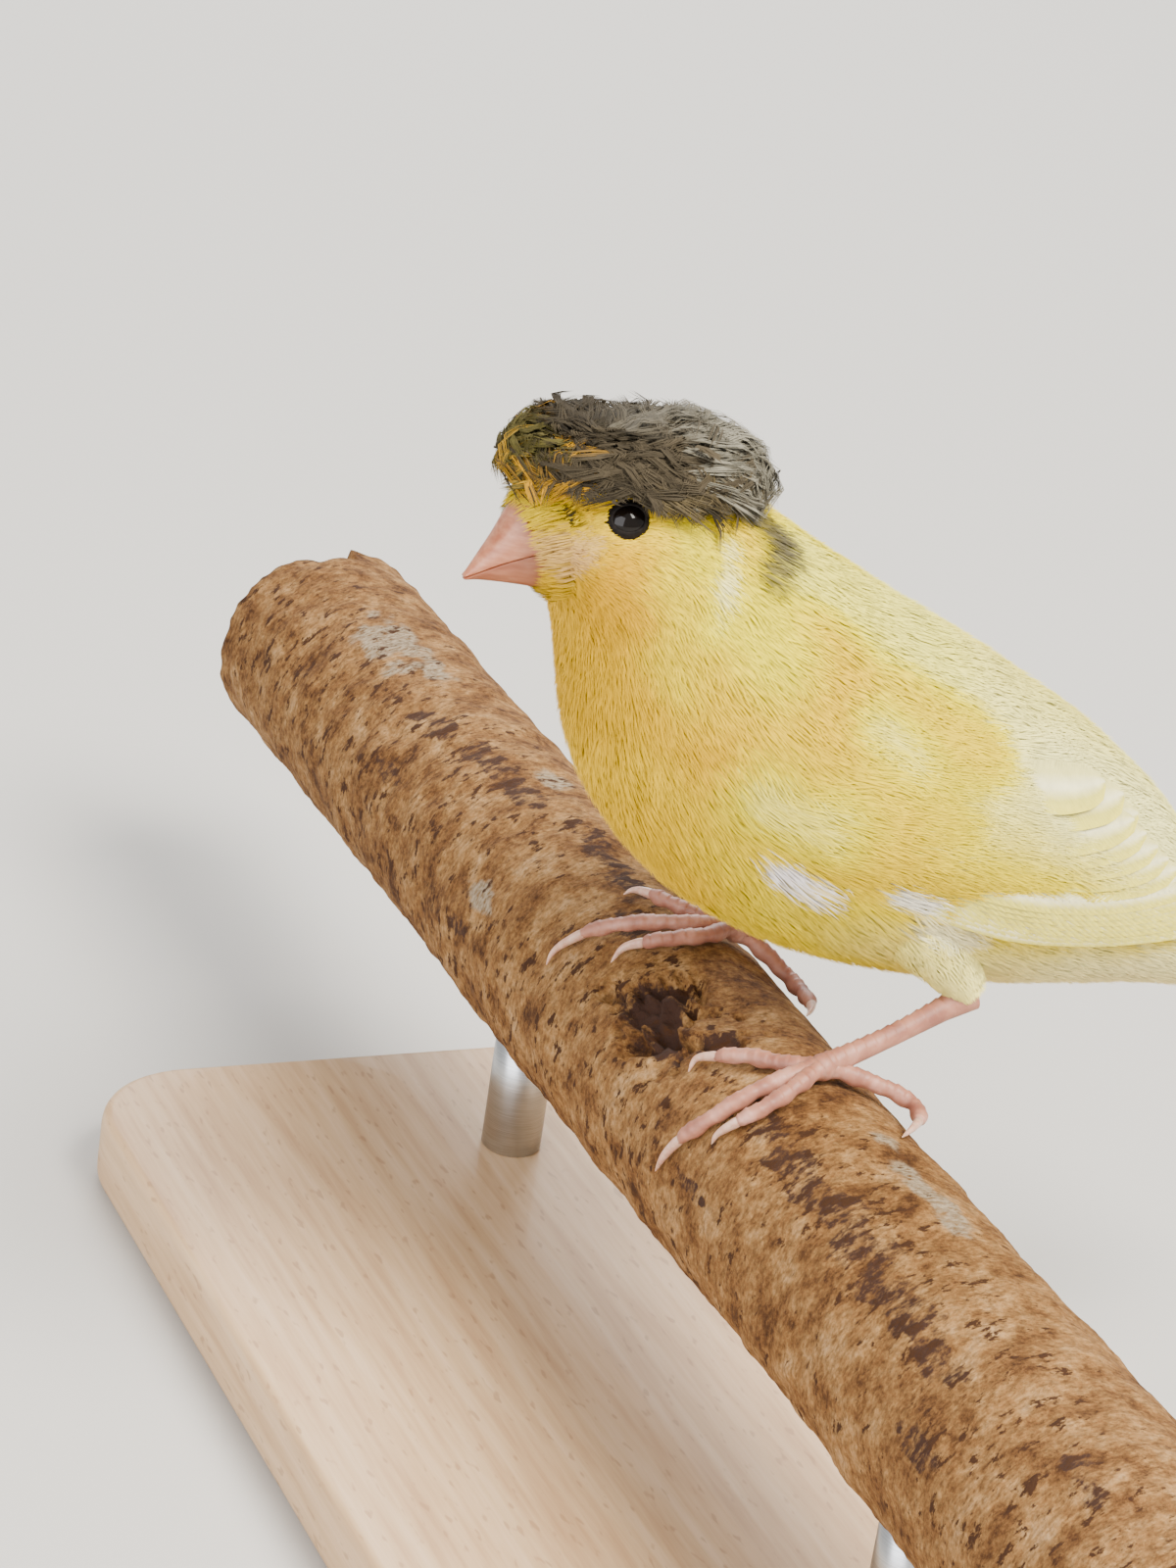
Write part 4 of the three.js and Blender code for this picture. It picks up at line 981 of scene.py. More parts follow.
def quill(line, outs, half_width, draw, roll, blunt=0.35):
    """A vane along a line: points, faces, shares (along, across) and normals of its blade and barbs."""
    n = len(line)
    forward = unit(np.gradient(line, axis=0))
    side = unit(np.cross(forward, outs))
    up = np.cross(side, forward)
    side, up = side * math.cos(roll) + up * math.sin(roll), up * math.cos(roll) - side * math.sin(roll)
    t = np.linspace(0, 1, n)
    wide = half_width * np.interp(t, [0, 0.15, 0.6, 0.85, 0.95, 1], [0.35, 0.85, 1, 0.85, 0.6, blunt * 0.6])
    rings = line[:, None] + side[:, None] * (wide[:, None] * VANE_ACROSS)[..., None]
    blade, faces = tube(rings + up[:, None] * VANE_HEIGHT[:, None])
    ring_shares = np.stack(np.broadcast_arrays(t[:, None], VANE_ACROSS), -1).reshape(-1, 2)
    shares = np.vstack([ring_shares, [[0, 0], [1, 0]]])
    start = np.repeat(np.linspace(0.04, 0.93, QUILL_BARBS), 2) + draw.normal(0, 0.004, 2 * QUILL_BARBS)
    way = np.tile([-1.0, 1.0], QUILL_BARBS)
    knots = np.linspace(0, 1, FAN_KNOTS)
    reach = 1.0 + draw.normal(0, 0.03, len(way))
    at_t = np.clip(start[:, None] + BARB_SLANT * knots * (1.1 - 0.3 * knots), 0, 1)
    at_x = way[:, None] * reach[:, None] * knots ** 0.9
    i = at_t * (n - 1)

    def pick(row):
        return np.stack([np.interp(i, np.arange(n), row[:, k]) for k in range(3)], -1)

    ups = pick(up)
    paths = (pick(line) + pick(side) * (np.interp(i, np.arange(n), wide) * at_x)[..., None]
             + ups * (0.12 - 0.1 * np.abs(at_x))[..., None])
    length = np.linalg.norm(np.diff(line, axis=0), axis=1).sum()
    widths = np.full(at_t.shape, 0.62 * length * 0.9 / QUILL_BARBS / 2)
    barb_points, barb_faces, _, barb_normals = barbs(paths, ups, widths, 0.5)
    corner_t, corner_x = (np.concatenate([np.repeat(at[:, :-1], 3, 1), at[:, -1:]], 1) for at in (at_t, at_x))
    barb_shares = np.stack([corner_t, corner_x], -1).reshape(-1, 2)
    round_out = unit(up[:, None] + side[:, None] * (VANE_ACROSS * ROUND_BARB)[:, None])
    blade_normals = np.vstack([round_out.reshape(-1, 3), up[:1], up[-1:]])
    return (np.vstack([blade, barb_points]), np.vstack([faces, barb_faces + len(blade)]),
            np.vstack([shares, barb_shares]), np.vstack([blade_normals, barb_normals]))


print("a quill has", 2 * QUILL_BARBS, "barbs on a vane", np.ptp(VANE_HEIGHT).round(2), "mm thick")

# %% [markdown]
# On a folded wing only the outer edge of each vane shows, and it is what draws the neat pale lines. A lit
# edge alone is too faint in soft light, so painted shade darkens each vane inside its outer rim, where the
# next feather's edge would shade it, and leaves the rim pale; the shaft is white, and each vane is a little
# darker towards its root. Each feather has its own strip of the bake map.

# %% Colours and map of a quill
# Painted shade: inside this share of the way out to the rim, each vane is darkened to this share
RIM_FROM, RIM_PAINTED_SHADE = 0.45, 0.8
SHAFT_WHITE, SHAFT_SHARE = "#fbf6e8", 0.5
STRIP_HALF = 0.42


def quill_colours(shares, draw, core, edge, outer):
    """Pale vanes with a yellow edge on the outer side, painted shade inside the outer rim and a white shaft.
    """
    t, x = shares[:, 0], shares[:, 1]
    yellow = ease((x * outer + 0.1) / 0.9)[:, None] * 0.8
    colours = np.array(linear(core)) * (1 - yellow) + np.array(linear(edge)) * yellow
    # Painted shade: the vane is darker inside, where the next feather's edge would shade it, and full bright
    # on its outer rim
    rim = ease((x * outer - RIM_FROM) / (1 - RIM_FROM))[:, None]
    colours = colours * (RIM_PAINTED_SHADE + (1 - RIM_PAINTED_SHADE) * rim)
    shaft = ease((0.12 - np.abs(x)) / 0.08)[:, None] * SHAFT_SHARE
    colours = colours * (1 - shaft) + np.array(linear(SHAFT_WHITE)) * shaft
    return deepen(colours) * (0.92 + 0.1 * t + draw.normal(0, 0.02, len(t)))[:, None]


def quill_bake(shares, index, count):
    """The strip of the map of one feather among several."""
    return np.stack([(index + 0.5 + STRIP_HALF * shares[:, 1]) / count,
                     BAKE_EDGE + (1 - 2 * BAKE_EDGE) * shares[:, 0]], -1)


def join_quills(quills):
    """Points, faces, colours, bake places and normals of several feathers as one."""
    parts, colours, bake, normals = zip(*quills)
    return (*gather(parts), np.clip(np.vstack(colours), 0, 1), np.vstack(bake), np.vstack(normals))


across = np.array([[0.5, 0.0], [0.5, 0.4], [0.5, 1.0]])
tones = quill_colours(across, np.random.default_rng(0), "#f5ecc0", "#f0e2a0", 1).mean(1)
print("a vane's tone at shaft, middle and rim:", np.round(tones, 2))

# %% [markdown]
# A canary's folded wing shows eight or nine primaries, which make the long narrow bundle below, six
# secondaries and three broad tertials on top. Three rows in a list hold what differs. Each feather runs
# from its root to its tip over the loft, the next one a little higher, and its root is sunk so the coverts
# close over it.

# %% Flight feathers
FLIGHT = [
    # (feathers, root from, root to, tips as the side view shows them, half width,
    #  height off the body, how deep the root is sunk, where it has risen)
    (8, (-5.5, 30.4), (-6.5, 34.6),
     [(-44.6, 22.7), (-47.8, 22.9), (-49.8, 23.6), (-48.8, 24.7), (-45.4, 26.2), (-41.4, 27.9)],
     1.45, (0.8, 1.0), 1.5, 0.35),
    (6, (-8, 36.2), (-9, 40.4), [(-38.2, 29.0), (-35.6, 30.6), (-33.4, 32.4), (-31.0, 34.4), (-28.6, 36.4)],
     2.2, (0.5, 1.2), 1.6, 0.6),
    (3, (-11, 41.4), (-10, 44.4), [(-29.6, 36.6), (-27.4, 38.6), (-24.6, 40.2)], 2.6, (0.5, 1.3), 1.8, 0.7),
]
# The lowest feather is this share of the full width, and the fourth has all of it
LOWEST_SHARE, FULL_FROM = 0.5, 3
QUILL_RINGS, WING_ROLL, WING_SAG, ROW_RISE = 18, 0.16, 0.8, 0.35


def flight_feathers(draw):
    """Points, faces, colours, bake places and normals of one wing's flight feathers, lowest first."""
    quills = []
    total = sum(row[0] for row in FLIGHT)
    t = np.linspace(0, 1, QUILL_RINGS)[:, None]
    for count, root_a, root_b, tips, half_width, offs, sunk, risen in FLIGHT:
        for i in range(count):
            share = i / (count - 1)
            root = np.array(root_a) + (np.array(root_b) - np.array(root_a)) * share
            tip = smooth_line(tips, np.array(share * (len(tips) - 1)))
            flat = root + (tip - root) * t + np.array([0, -WING_SAG]) * np.sin(math.pi * t)
            off = offs[0] + ROW_RISE * share + (offs[1] - offs[0]) * t[:, 0]
            off = off - sunk * (1 - ease(t[:, 0] / risen))
            line, outs = off_the_side(flat[:, 0], flat[:, 1], off)
            wide = half_width * (LOWEST_SHARE + (1 - LOWEST_SHARE) * min(len(quills) / FULL_FROM, 1))
            points, faces, shares, out = quill(line, outs, wide, draw, WING_ROLL)
            colours = quill_colours(shares, draw, "#f5ecc0", "#f0e2a0", 1)
            quills.append(((points, faces), colours, quill_bake(shares, len(quills), total), out))
    return join_quills(quills)


def wing_bed():
    """A smooth closed pad under the coverts and vanes, so nothing shows through between them."""
    share = np.linspace(0, 1, 14)
    crown = -0.1 + 0.5 * np.sin(math.pi * share)
    low = [(4.0, 38.2), (0, 36.6), (-5, 34.6), (-12, 32.2), (-22, 29.2), (-34, 25.8)]
    high = [(3.8, 40.0), (0, 43.0), (-5, 44.6), (-12, 43.4), (-22, 38.6), (-34, 30.4)]
    rings = []
    for along in np.linspace(0, 5, 40):
        a, b = smooth_line(low, np.array(along)), smooth_line(high, np.array(along))
        flat = a + (b - a) * share[:, None]
        outer, _ = off_the_side(flat[:, 0], flat[:, 1], crown)
        inner, _ = off_the_side(flat[:, 0], flat[:, 1], np.full(len(share), -0.3))
        rings.append(np.vstack([inner, outer[::-1]]))
    return tube(np.array(rings))


bed_points, bed_faces = wing_bed()
bed_bake = bake_place(*seen_from_side(bed_points[:, 0], bed_points[:, 2]))
points, faces, colours, bake, normals = flight_feathers(np.random.default_rng(31))
for side, way in (("left", 1), ("right", -1)):
    new_piece(f"flight_{side}", points * [1, way, 1], faces[:, ::way], silk, "plumage_pale",
              colours, bake, normals * [1, way, 1], (f"wing_{side}",))
    # The bed takes the markings darkened by the same painted shade as the skin
    new_piece(f"wing_bed_{side}", bed_points * [1, way, 1], bed_faces[:, ::way], skin_down, "plumage_pale",
              mark(bed_points) * DOWN_PAINTED_SHADE, bed_bake)

# %% [markdown]
# The great coverts close the gap between the small shoulder feathers and the flight feathers. Stiff quills
# would look like roof tiles here, and the real ones are broad and soft, so they are fans of barbs like the
# coat's, only longer, in six rows that run along the wing.

# %% Great coverts
COVERTS, COVERT_ROWS, COVERT_BARBS, COVERT_RISE = 120, 6, 26, 0.25
# In the side view: the first root, the run along a row, and the step from row to row
COVERT_ROOT, COVERT_RUN, COVERT_STEP = np.array([2.0, 37.4]), np.array([-1.5, 10.0]), np.array([-3.6, -0.4])


def great_coverts(draw, way):
    share = (np.arange(COVERTS) + draw.random(COVERTS)) / COVERTS
    row = np.arange(COVERTS) % COVERT_ROWS
    roots = COVERT_ROOT + COVERT_RUN * share[:, None]
    roots = roots + draw.normal(0, 0.9, roots.shape) + COVERT_STEP * row[:, None]
    station, turn = seen_from_side(roots[:, 0], roots[:, 1])
    length = draw.uniform(9.0, 11.5, COVERTS)
    return fan(draw, station, turn if way > 0 else 2 * math.pi - turn, length, length * 0.22, COVERT_BARBS,
               0.03, COVERT_RISE)


for side, way in (("left", 1), ("right", -1)):
    draw = np.random.default_rng(41 + way)
    dress(f"coverts_{side}", draw, [great_coverts(draw, way)], "plumage_pale", swaps=(f"wing_{side}",))

# %% [markdown]
# Twelve tail feathers lie folded in a stack, the middle pair on top, and end in a shallow fork. One plate
# with grooves would show as one plate from the end, so each is a quill of its own, a little lower and
# further out than the pair above it.

# %% The tail
TAIL_ROOT, TAIL_TIP = np.array([-39.5, 0, 21.6]), np.array([-72.5, 0, 11.0])
TAIL_PAIRS, TAIL_STEP, TAIL_NOTCH = 6, 0.3, 3.4
# How far from the middle the first pair lies, and each further pair, at the root and at the tip
TAIL_ROOT_OUT, TAIL_TIP_OUT = (0.3, 0.32), (1.3, 0.82)
TAIL_HALF_WIDTH, TAIL_BOW, TAIL_ROLL = 2.7, 0.7, 0.06

draw = np.random.default_rng(51)
quills = []
t = np.linspace(0, 1, QUILL_RINGS)[:, None]
for pair in range(TAIL_PAIRS - 1, -1, -1):
    for way in (1, -1):
        down = TAIL_STEP * (pair + (0.5 if way < 0 else 0))
        root = TAIL_ROOT + [0, way * (TAIL_ROOT_OUT[0] + TAIL_ROOT_OUT[1] * pair), -down]
        fork = TAIL_NOTCH * (1 - pair / (TAIL_PAIRS - 1)) ** 1.3
        tip = TAIL_TIP + [fork, way * (TAIL_TIP_OUT[0] + TAIL_TIP_OUT[1] * pair), -down]
        line = root + (tip - root) * t + np.array([0, 0, TAIL_BOW]) * np.sin(math.pi * t)
        outs = np.broadcast_to(unit(np.array([0.3, 0, 1])), line.shape)
        points, faces, shares, out = quill(line, outs, TAIL_HALF_WIDTH, draw, -way * TAIL_ROLL, blunt=0.6)
        colours = quill_colours(shares, draw, "#f5efd6", "#f1df88", way)
        quills.append(((points, faces), colours, quill_bake(shares, len(quills), 2 * TAIL_PAIRS), out))
points, faces, colours, bake, normals = join_quills(quills)
new_piece("tail_feathers", points, faces, silk, "plumage_pale", colours, bake, normals, ("tail",))

# %% [markdown]
# The small pear-shaped thighs carry the same down, running from the flank to the heel. They aren't part of
# the loft, so the look-up table doesn't know them. Their own rings serve as a grid instead: a feather
# starts at a ring and a side, and goes along the grid.

# %% Thigh feathers
THIGH_FEATHERS, THIGH_BARBS, THIGH_GRID = 260, 9, 60
# A thigh is about 14 mm long from its first ring to its last
THIGH_LONG_MM = 14.0


def thigh_fans(draw, heel):
    rings, spokes, forward = thigh_rings(heel, 0.35, rows=THIGH_GRID, sides=THIGH_GRID)
    row = draw.integers(4, 50, THIGH_FEATHERS)
    turn = draw.integers(0, THIGH_GRID, THIGH_FEATHERS)
    spread = (np.arange(THIGH_BARBS) + 0.5) / THIGH_BARBS * 2 - 1
    length = draw.uniform(2.6, 3.8, THIGH_FEATHERS)
    steps = np.linspace(0, 1, FAN_KNOTS)
    paths, ups = [], []
    for t in steps:
        where = row[:, None] + length[:, None] * (1 - 0.25 * spread ** 2) * t / THIGH_LONG_MM * THIGH_GRID
        where = np.clip(where, 0, THIGH_GRID - 1).astype(int)
        around = (turn[:, None] + np.round(spread * 6 * (0.3 + 0.7 * t)).astype(int)) % THIGH_GRID
        out = spokes[around]
        height = 0.5 * t - 0.2 + 0.1 * draw.random((THIGH_FEATHERS, 1))
        ragged_tip = draw.random((THIGH_FEATHERS, THIGH_BARBS)) * 0.2
        paths.append(rings[where, around] + out * height[..., None] + forward * ragged_tip[..., None])
        ups.append(out)
    paths = np.stack(paths, 2).reshape(-1, FAN_KNOTS, 3)
    ups = np.stack(ups, 2).reshape(-1, FAN_KNOTS, 3)
    widths = np.full((len(paths), FAN_KNOTS), 0.12) * np.interp(steps, [0, 0.5, 1], [0.8, 1, 0.5])
    patch_at = 0.3 if heel[1] > 0 else 0.6
    roots = np.stack([turn / THIGH_GRID * 0.1 + patch_at, row / THIGH_GRID * 0.1], -1)
    return paths, ups, widths, np.repeat(roots, THIGH_BARBS, 0), draw.normal(0, 1, len(paths))


draw = np.random.default_rng(61)
dress("thigh_feathers", draw, [thigh_fans(draw, heel) for heel in LEG_HEELS.values()], "plumage_pale")

# %% [markdown]
# A canary's eye is so dark a brown that only its highlight shows its shape, and a thin bare lid rings it.
# The ball could be a sphere primitive. It is a tube of rings like the rest, and the lid is a narrow band
# that follows the ball round an oval opening, because the lids draw in above and below.

# %% Eyes and lids
# A wet cornea: nearly a mirror, which gives the eye its one sharp light
cornea = new_material("wet dark eye", {
    "Base Color": (*linear("#0e0906"), 1), "Roughness": 0.07, "Specular IOR Level": 0.22})[0]
# Bare skin with creases 0.25 mm apart: dull and dark, so the wet ball inside it looks brighter
LID_CREASE_MM = 0.25
lid_skin, tree, shader = new_material("bare lid skin", {"Roughness": 0.75, "Specular IOR Level": 0.15})
crease = add(tree, "TexNoise", {"Scale": 1 / (LID_CREASE_MM * MM), "Detail": 2.0},
             {"Vector": add(tree, "TexCoord").outputs["Object"]})
lid_tone = add(tree, "ValToRGB", {"stops": [(0.3, "#0c0908"), (0.7, "#1c1612")]}, {"Fac": crease})
surface(shader, lid_tone)
BALL_END = 0.02


def ball_rings(middle, radius, rows, sides):
    polar = np.linspace(BALL_END, math.pi - BALL_END, rows)[:, None]
    round_ = np.arange(sides) * 2 * math.pi / sides
    shell = np.stack([np.sin(polar) * np.cos(round_), np.sin(polar) * np.sin(round_),
                      np.cos(polar) * np.ones(sides)], -1)
    return middle + shell * radius


# The lid's section: (outward from the opening, height over the ball)
LID_EDGE = [(0.0, 0.02), (0.1, 0.12), (0.3, 0.12), (0.6, 0.08), (0.6, -0.1), (0.0, -0.1)]
LID_ROWS = 96


def lid_rings():
    """A band on the ball round its oval opening."""
    a = (np.arange(LID_ROWS + 1) * 2 * math.pi / LID_ROWS)[:, None]
    opening = np.cos(a) * EYE_LONG_WAY * EYE_OPENING[0] + np.sin(a) * EYE_SHORT_WAY * EYE_OPENING[1]
    rings = []
    for beyond, over in LID_EDGE:
        spokes = opening + unit(opening) * beyond
        out_from_axis = np.minimum((spokes ** 2).sum(-1, keepdims=True), EYE_RADIUS ** 2)
        rise = np.sqrt((EYE_RADIUS + over) ** 2 - out_from_axis)
        rings.append(eye_middle + spokes + eye_out * rise)
    return np.stack(rings, 1)


eye_points, eye_faces = tube(ball_rings(eye_middle, EYE_RADIUS, 32, 48))
lid_points, lid_faces = tube(lid_rings())
for side, way in (("left", 1), ("right", -1)):
    new_piece(f"eyeball_{side}", eye_points * [1, way, 1], eye_faces[:, ::way], cornea, "eye",
              swaps=(f"eye_{side}",))
    new_piece(f"lid_{side}", lid_points * [1, way, 1], lid_faces[:, ::way], lid_skin, "eye")

# %% [markdown]
# The bill is horn over bone, a stout cone for cracking seed. Its two halves meet along the line of the
# mouth, the upper one overlapping a little, and small round nostrils open near the top of its root. Two
# cones cut with a boolean would leave creases, so each half is a tube whose rings stand across the mouth
# line and reach to the ridge above or the keel below.

# %% The bill's shape
# The mouth, the ridge and the keel from the root to the tip, as ahead and up
MOUTH = [(27.5, 62.2), (30.1, 61.2), (33.2, 59.8), (36.0, 58.05)]
CULMEN = [(29.0, 66.8), (32.1, 64.9), (33.9, 61.7), (36.15, 58.1)]
GONYS = [(25.8, 56.4), (29.2, 57.0), (32.4, 57.5), (35.2, 57.8)]
BILL_WIDTH = [3.8, 3.4, 2.75, 2.0, 1.2, 0.3]
BILL_RINGS, BILL_SIDES = 64, 48
NOSTRIL, NOSTRIL_RADIUS = np.array([31.1, 2.55, 63.9]), 0.5
NOSTRIL_PIT = np.array([0, 0.7, 0.1])


def bill_rings(outer, drop, width_scale, overlap):
    t = np.linspace(0, 1, BILL_RINGS)
    mouth = smooth_line(MOUTH, t * 3) + [0, drop]
    rise = smooth_line(outer, t * 3) - mouth
    height = np.maximum(np.linalg.norm(rise, axis=1), 0.2)[:, None]
    way = unit(rise)
    width = np.interp(t, np.linspace(0, 1, len(BILL_WIDTH)), BILL_WIDTH) * width_scale
    width = np.maximum(np.convolve(np.pad(width, 4, "edge"), np.ones(9) / 9, "valid"), 0.12)[:, None]
    turn = (np.arange(BILL_SIDES) + 0.5) * 2 * math.pi / BILL_SIDES
    lift = np.cos(turn)
    high = np.where(lift > 0, height * lift, overlap * lift)
    wide = width * np.sign(np.sin(turn)) * np.abs(np.sin(turn)) ** 0.9
    return np.stack([mouth[:, None, 0] + way[:, None, 0] * high, wide,
                     mouth[:, None, 1] + way[:, None, 1] * high], -1)


upper = bill_rings(CULMEN, 0.1, 1.0, 0.25)
lower = bill_rings(GONYS, -0.22, 0.88, 0.1)
for side in (1, MIRROR):
    pit = np.linalg.norm(upper - NOSTRIL * side, axis=-1, keepdims=True)
    upper = upper - NOSTRIL_PIT * side * ease((NOSTRIL_RADIUS * 1.5 - pit) / (NOSTRIL_RADIUS * 0.8))
print(f"bill: {np.ptp(upper[..., 0]):.1f} mm long, {np.ptp(upper[..., 1]):.1f} mm wide")

# %% [markdown]
# Horn is keratin like a fingernail, grown in thin layers over a pink bed. Paint alone would make it chalk,
# so the shader scatters light a millimetre under the surface, red furthest, and the growth lines are faint
# both in colour and in relief. The lower half lies in the upper one's shade, and that shade is painted into
# its horn, which is darker and browner.

# %% The bill's horn
GROWTH_LINES_PER_MM = 0.9
# Growth lines run across the bill, so the pattern is drawn out along it
GROWTH_STRETCH = (0.3, 1.0, 1.6)


def bill_horn(name, stops):
    made, tree, shader = new_material(name, {
        "Roughness": 0.38, "Specular IOR Level": 0.45, "Subsurface Weight": 0.25, "Subsurface Scale": 0.0012,
        "Subsurface Radius": (1.0, 0.45, 0.35), "Coat Weight": 0.08})
    stretched = add(tree, "Mapping", {"Scale": GROWTH_STRETCH},
                    {"Vector": add(tree, "TexCoord").outputs["Object"]})
    growth = add(tree, "TexNoise", {"Scale": GROWTH_LINES_PER_MM / MM, "Detail": 3.0}, {"Vector": stretched})
    tone = add(tree, "ValToRGB", {"stops": stops}, {"Fac": growth})
    fine = add(tree, "Bump", {"Strength": 0.12, "Distance": 0.0001}, {"Height": growth})
    surface(shader, tone, fine)
    return made


# Satin pink horn: a soft highlight on the ridge and a warm glow at the thin edges
upper_horn = bill_horn("upper bill horn", [(0.3, "#9f5c3f"), (0.55, "#b57657"), (0.8, "#c88f72")])
# Painted shade: the lower half's horn is darker, as it lies in the upper half's shade
lower_horn_painted_shade = bill_horn("lower bill horn with painted shade", [(0.3, "#85492f"), (0.55, "#9c6045"), (0.8, "#b0775b")])
new_piece("bill_upper", *tube(upper), upper_horn, "horn_bill", swaps=("upper_bill",))
new_piece("bill_lower", *tube(lower), lower_horn_painted_shade, "horn_bill", swaps=("lower_bill",))

# %% [markdown]
# A perching bird closes its toes round the branch: three ahead and one behind. Posing a foot with bones
# would leave the toes in the bark or above it. So every joint of every toe is given on the branch itself,
# as degrees round it, a place along it and a height off the bark.

# %% Feet on the branch
GAP = 0.3
PERCH_RADIUS = 12.3


def perch_radius(angle, y):
    """The branch's radius, which swells along it and dips at the knot between the feet."""
    swell = 0.35 * np.sin(y / 19 + 0.6) + 0.25 * np.sin(2 * angle + y / 31)
    knot = -1.1 * np.exp(-(((y - 3) / 6) ** 2) - ((angle - 0.12) / 0.32) ** 2)
    return PERCH_RADIUS + swell * 0.6 + knot


def on_perch(degrees, left, off):
    angle = math.radians(degrees)
    radius = perch_radius(angle, -left) + GAP + off
    return np.array([radius * math.sin(angle), left, radius * math.cos(angle)])


# For each foot its joint, and its toes from the joint to the claw's tip as (degrees, left, height)
FEET = {
    "left": {"joint": on_perch(-2.5, 12.9, 1.35), "toes": [
        [(4, 12.2, 1.2), (11, 10.6, 0.9), (20, 8.1, 0.95), (29, 6.2, 0.9), (36, 4.6, 0.75), (42, 4.6, 0.1)],
        [(4, 13.0, 1.2), (17, 13.3, 0.95), (31, 13.4, 0.95), (46, 12.9, 0.9), (60, 11.6, 0.95),
         (71, 10.4, 0.75), (82, 8.9, 0.1)],
        [(4, 13.8, 1.2), (16, 15.3, 0.95), (30, 16.0, 0.9), (41, 15.6, 0.95), (49, 14.8, 0.7),
         (54, 14.4, 0.1)],
        [(-8, 13.1, 1.2), (-20, 13.9, 1.1), (-30, 14.8, 1.4), (-37, 16.4, 1.8), (-36, 18.8, 1.5),
         (-29, 21.0, 0.9), (-20, 22.8, 0.1)]]},
    "right": {"joint": on_perch(-22, -16.2, 1.35), "toes": [
        [(-16, -15.6, 1.2), (-5, -14.3, 0.9), (8, -14.1, 0.95), (19, -14.9, 0.9), (29, -16.0, 0.75),
         (37, -16.0, 0.1)],
        [(-15, -16.4, 1.2), (-1, -16.7, 0.95), (18, -18.6, 0.95), (33, -20.8, 0.9), (44, -22.0, 0.9),
         (52, -22.8, 0.75), (59, -23.3, 0.1)],
        [(-16, -17.2, 1.2), (-8, -19.2, 0.9), (-1, -21.2, 0.95), (4, -23.6, 0.9), (8, -25.2, 0.6),
         (12, -25.6, 0.1)],
        [(-28, -15.6, 1.2), (-38, -14.2, 1.0), (-46, -12.6, 1.0), (-48, -10.0, 1.0), (-44, -6.6, 0.9),
         (-38, -4.0, 0.6), (-32, -2.2, 0.1)]]},
}


def even_line(points, rows):
    """Evenly spaced places on the smooth line through the points."""
    dense = smooth_line(points, np.linspace(0, len(points) - 1, 400))
    run = np.concatenate([[0], np.cumsum(np.linalg.norm(np.diff(dense, axis=0), axis=1))])
    even = np.linspace(0, run[-1], rows)
    return np.stack([np.interp(even, run, dense[:, k]) for k in range(3)], -1), run[-1]


def sleeve(line, radii, up_hint, stretch=1.0):
    """Rings round a line; radii (rows, sides), with side 0 towards the hint."""
    forward = unit(np.gradient(line, axis=0))
    side = unit(np.cross(forward, up_hint))
    up = np.cross(side, forward)
    turn = np.arange(radii.shape[1]) * 2 * math.pi / radii.shape[1]
    return line[:, None] + radii[..., None] * (
        stretch * np.cos(turn)[None, :, None] * up[:, None] + np.sin(turn)[None, :, None] * side[:, None])


left_foot = FEET["left"]
_, toe_long = even_line([left_foot["joint"], *[on_perch(*p) for p in left_foot["toes"][1]]], 50)
print(f"left middle toe with its claw: {toe_long:.1f} mm")

# %% [markdown]
# The skin of a bird's foot is horny and a little translucent over pink flesh. A single flat pink would look
# like rubber. Blotches a few millimetres across vary it, fine cells give it grit, and light scatters under
# it.

# %% Leg skin and claw horn
LEG_CELLS_PER_MM, LEG_BLOTCHES_PER_MM, CLAW_LAYERS_PER_MM = 1.8, 0.45, 1.5

# Scaly skin: half dull with tiny glints on the scutes, which tells it from the smooth bill
leg_skin, tree, shader = new_material("scaly leg skin", {
    "Roughness": 0.5, "Subsurface Weight": 0.2, "Subsurface Scale": 0.001,
    "Subsurface Radius": (1.0, 0.4, 0.3)})
where = add(tree, "TexCoord").outputs["Object"]
cells = add(tree, "TexVoronoi", {"feature": "DISTANCE_TO_EDGE", "Scale": LEG_CELLS_PER_MM / MM},
            {"Vector": where})
blotch = add(tree, "TexNoise", {"Scale": LEG_BLOTCHES_PER_MM / MM, "Detail": 3.0}, {"Vector": where})
flesh = add(tree, "ValToRGB", {"stops": [(0.3, "#8c5848"), (0.55, "#a56f5a"), (0.8, "#c19080")]},
            {"Fac": blotch})
grit = add(tree, "Bump", {"Strength": 0.25, "Distance": 0.0001}, {"Height": cells.outputs["Distance"]})
surface(shader, flesh, grit)
# Solid horn: smoother and paler than the skin, so each claw shows against its toe
claw_horn, tree, shader = new_material("claw horn", {
    "Roughness": 0.35, "Subsurface Weight": 0.2, "Subsurface Scale": 0.001, "Coat Weight": 0.1})
layers = add(tree, "TexNoise", {"Scale": CLAW_LAYERS_PER_MM / MM, "Detail": 2.0},
             {"Vector": add(tree, "TexCoord").outputs["Object"]})
horn = add(tree, "ValToRGB", {"stops": [(0.3, "#b98a74"), (0.7, "#cfab96")]}, {"Fac": layers})
surface(shader, horn)
print("made:", leg_skin.name, "and", claw_horn.name)

# %% [markdown]
# Bird legs wear horny plates: broad scutes down the front of the shank and across the top of each toe, and
# soft pads below. A bump map would vanish along the outline, where scutes show best, so they are raised in
# the mesh as small steps. The claws are separate horn, oval in section, hooked and drawn to a point.

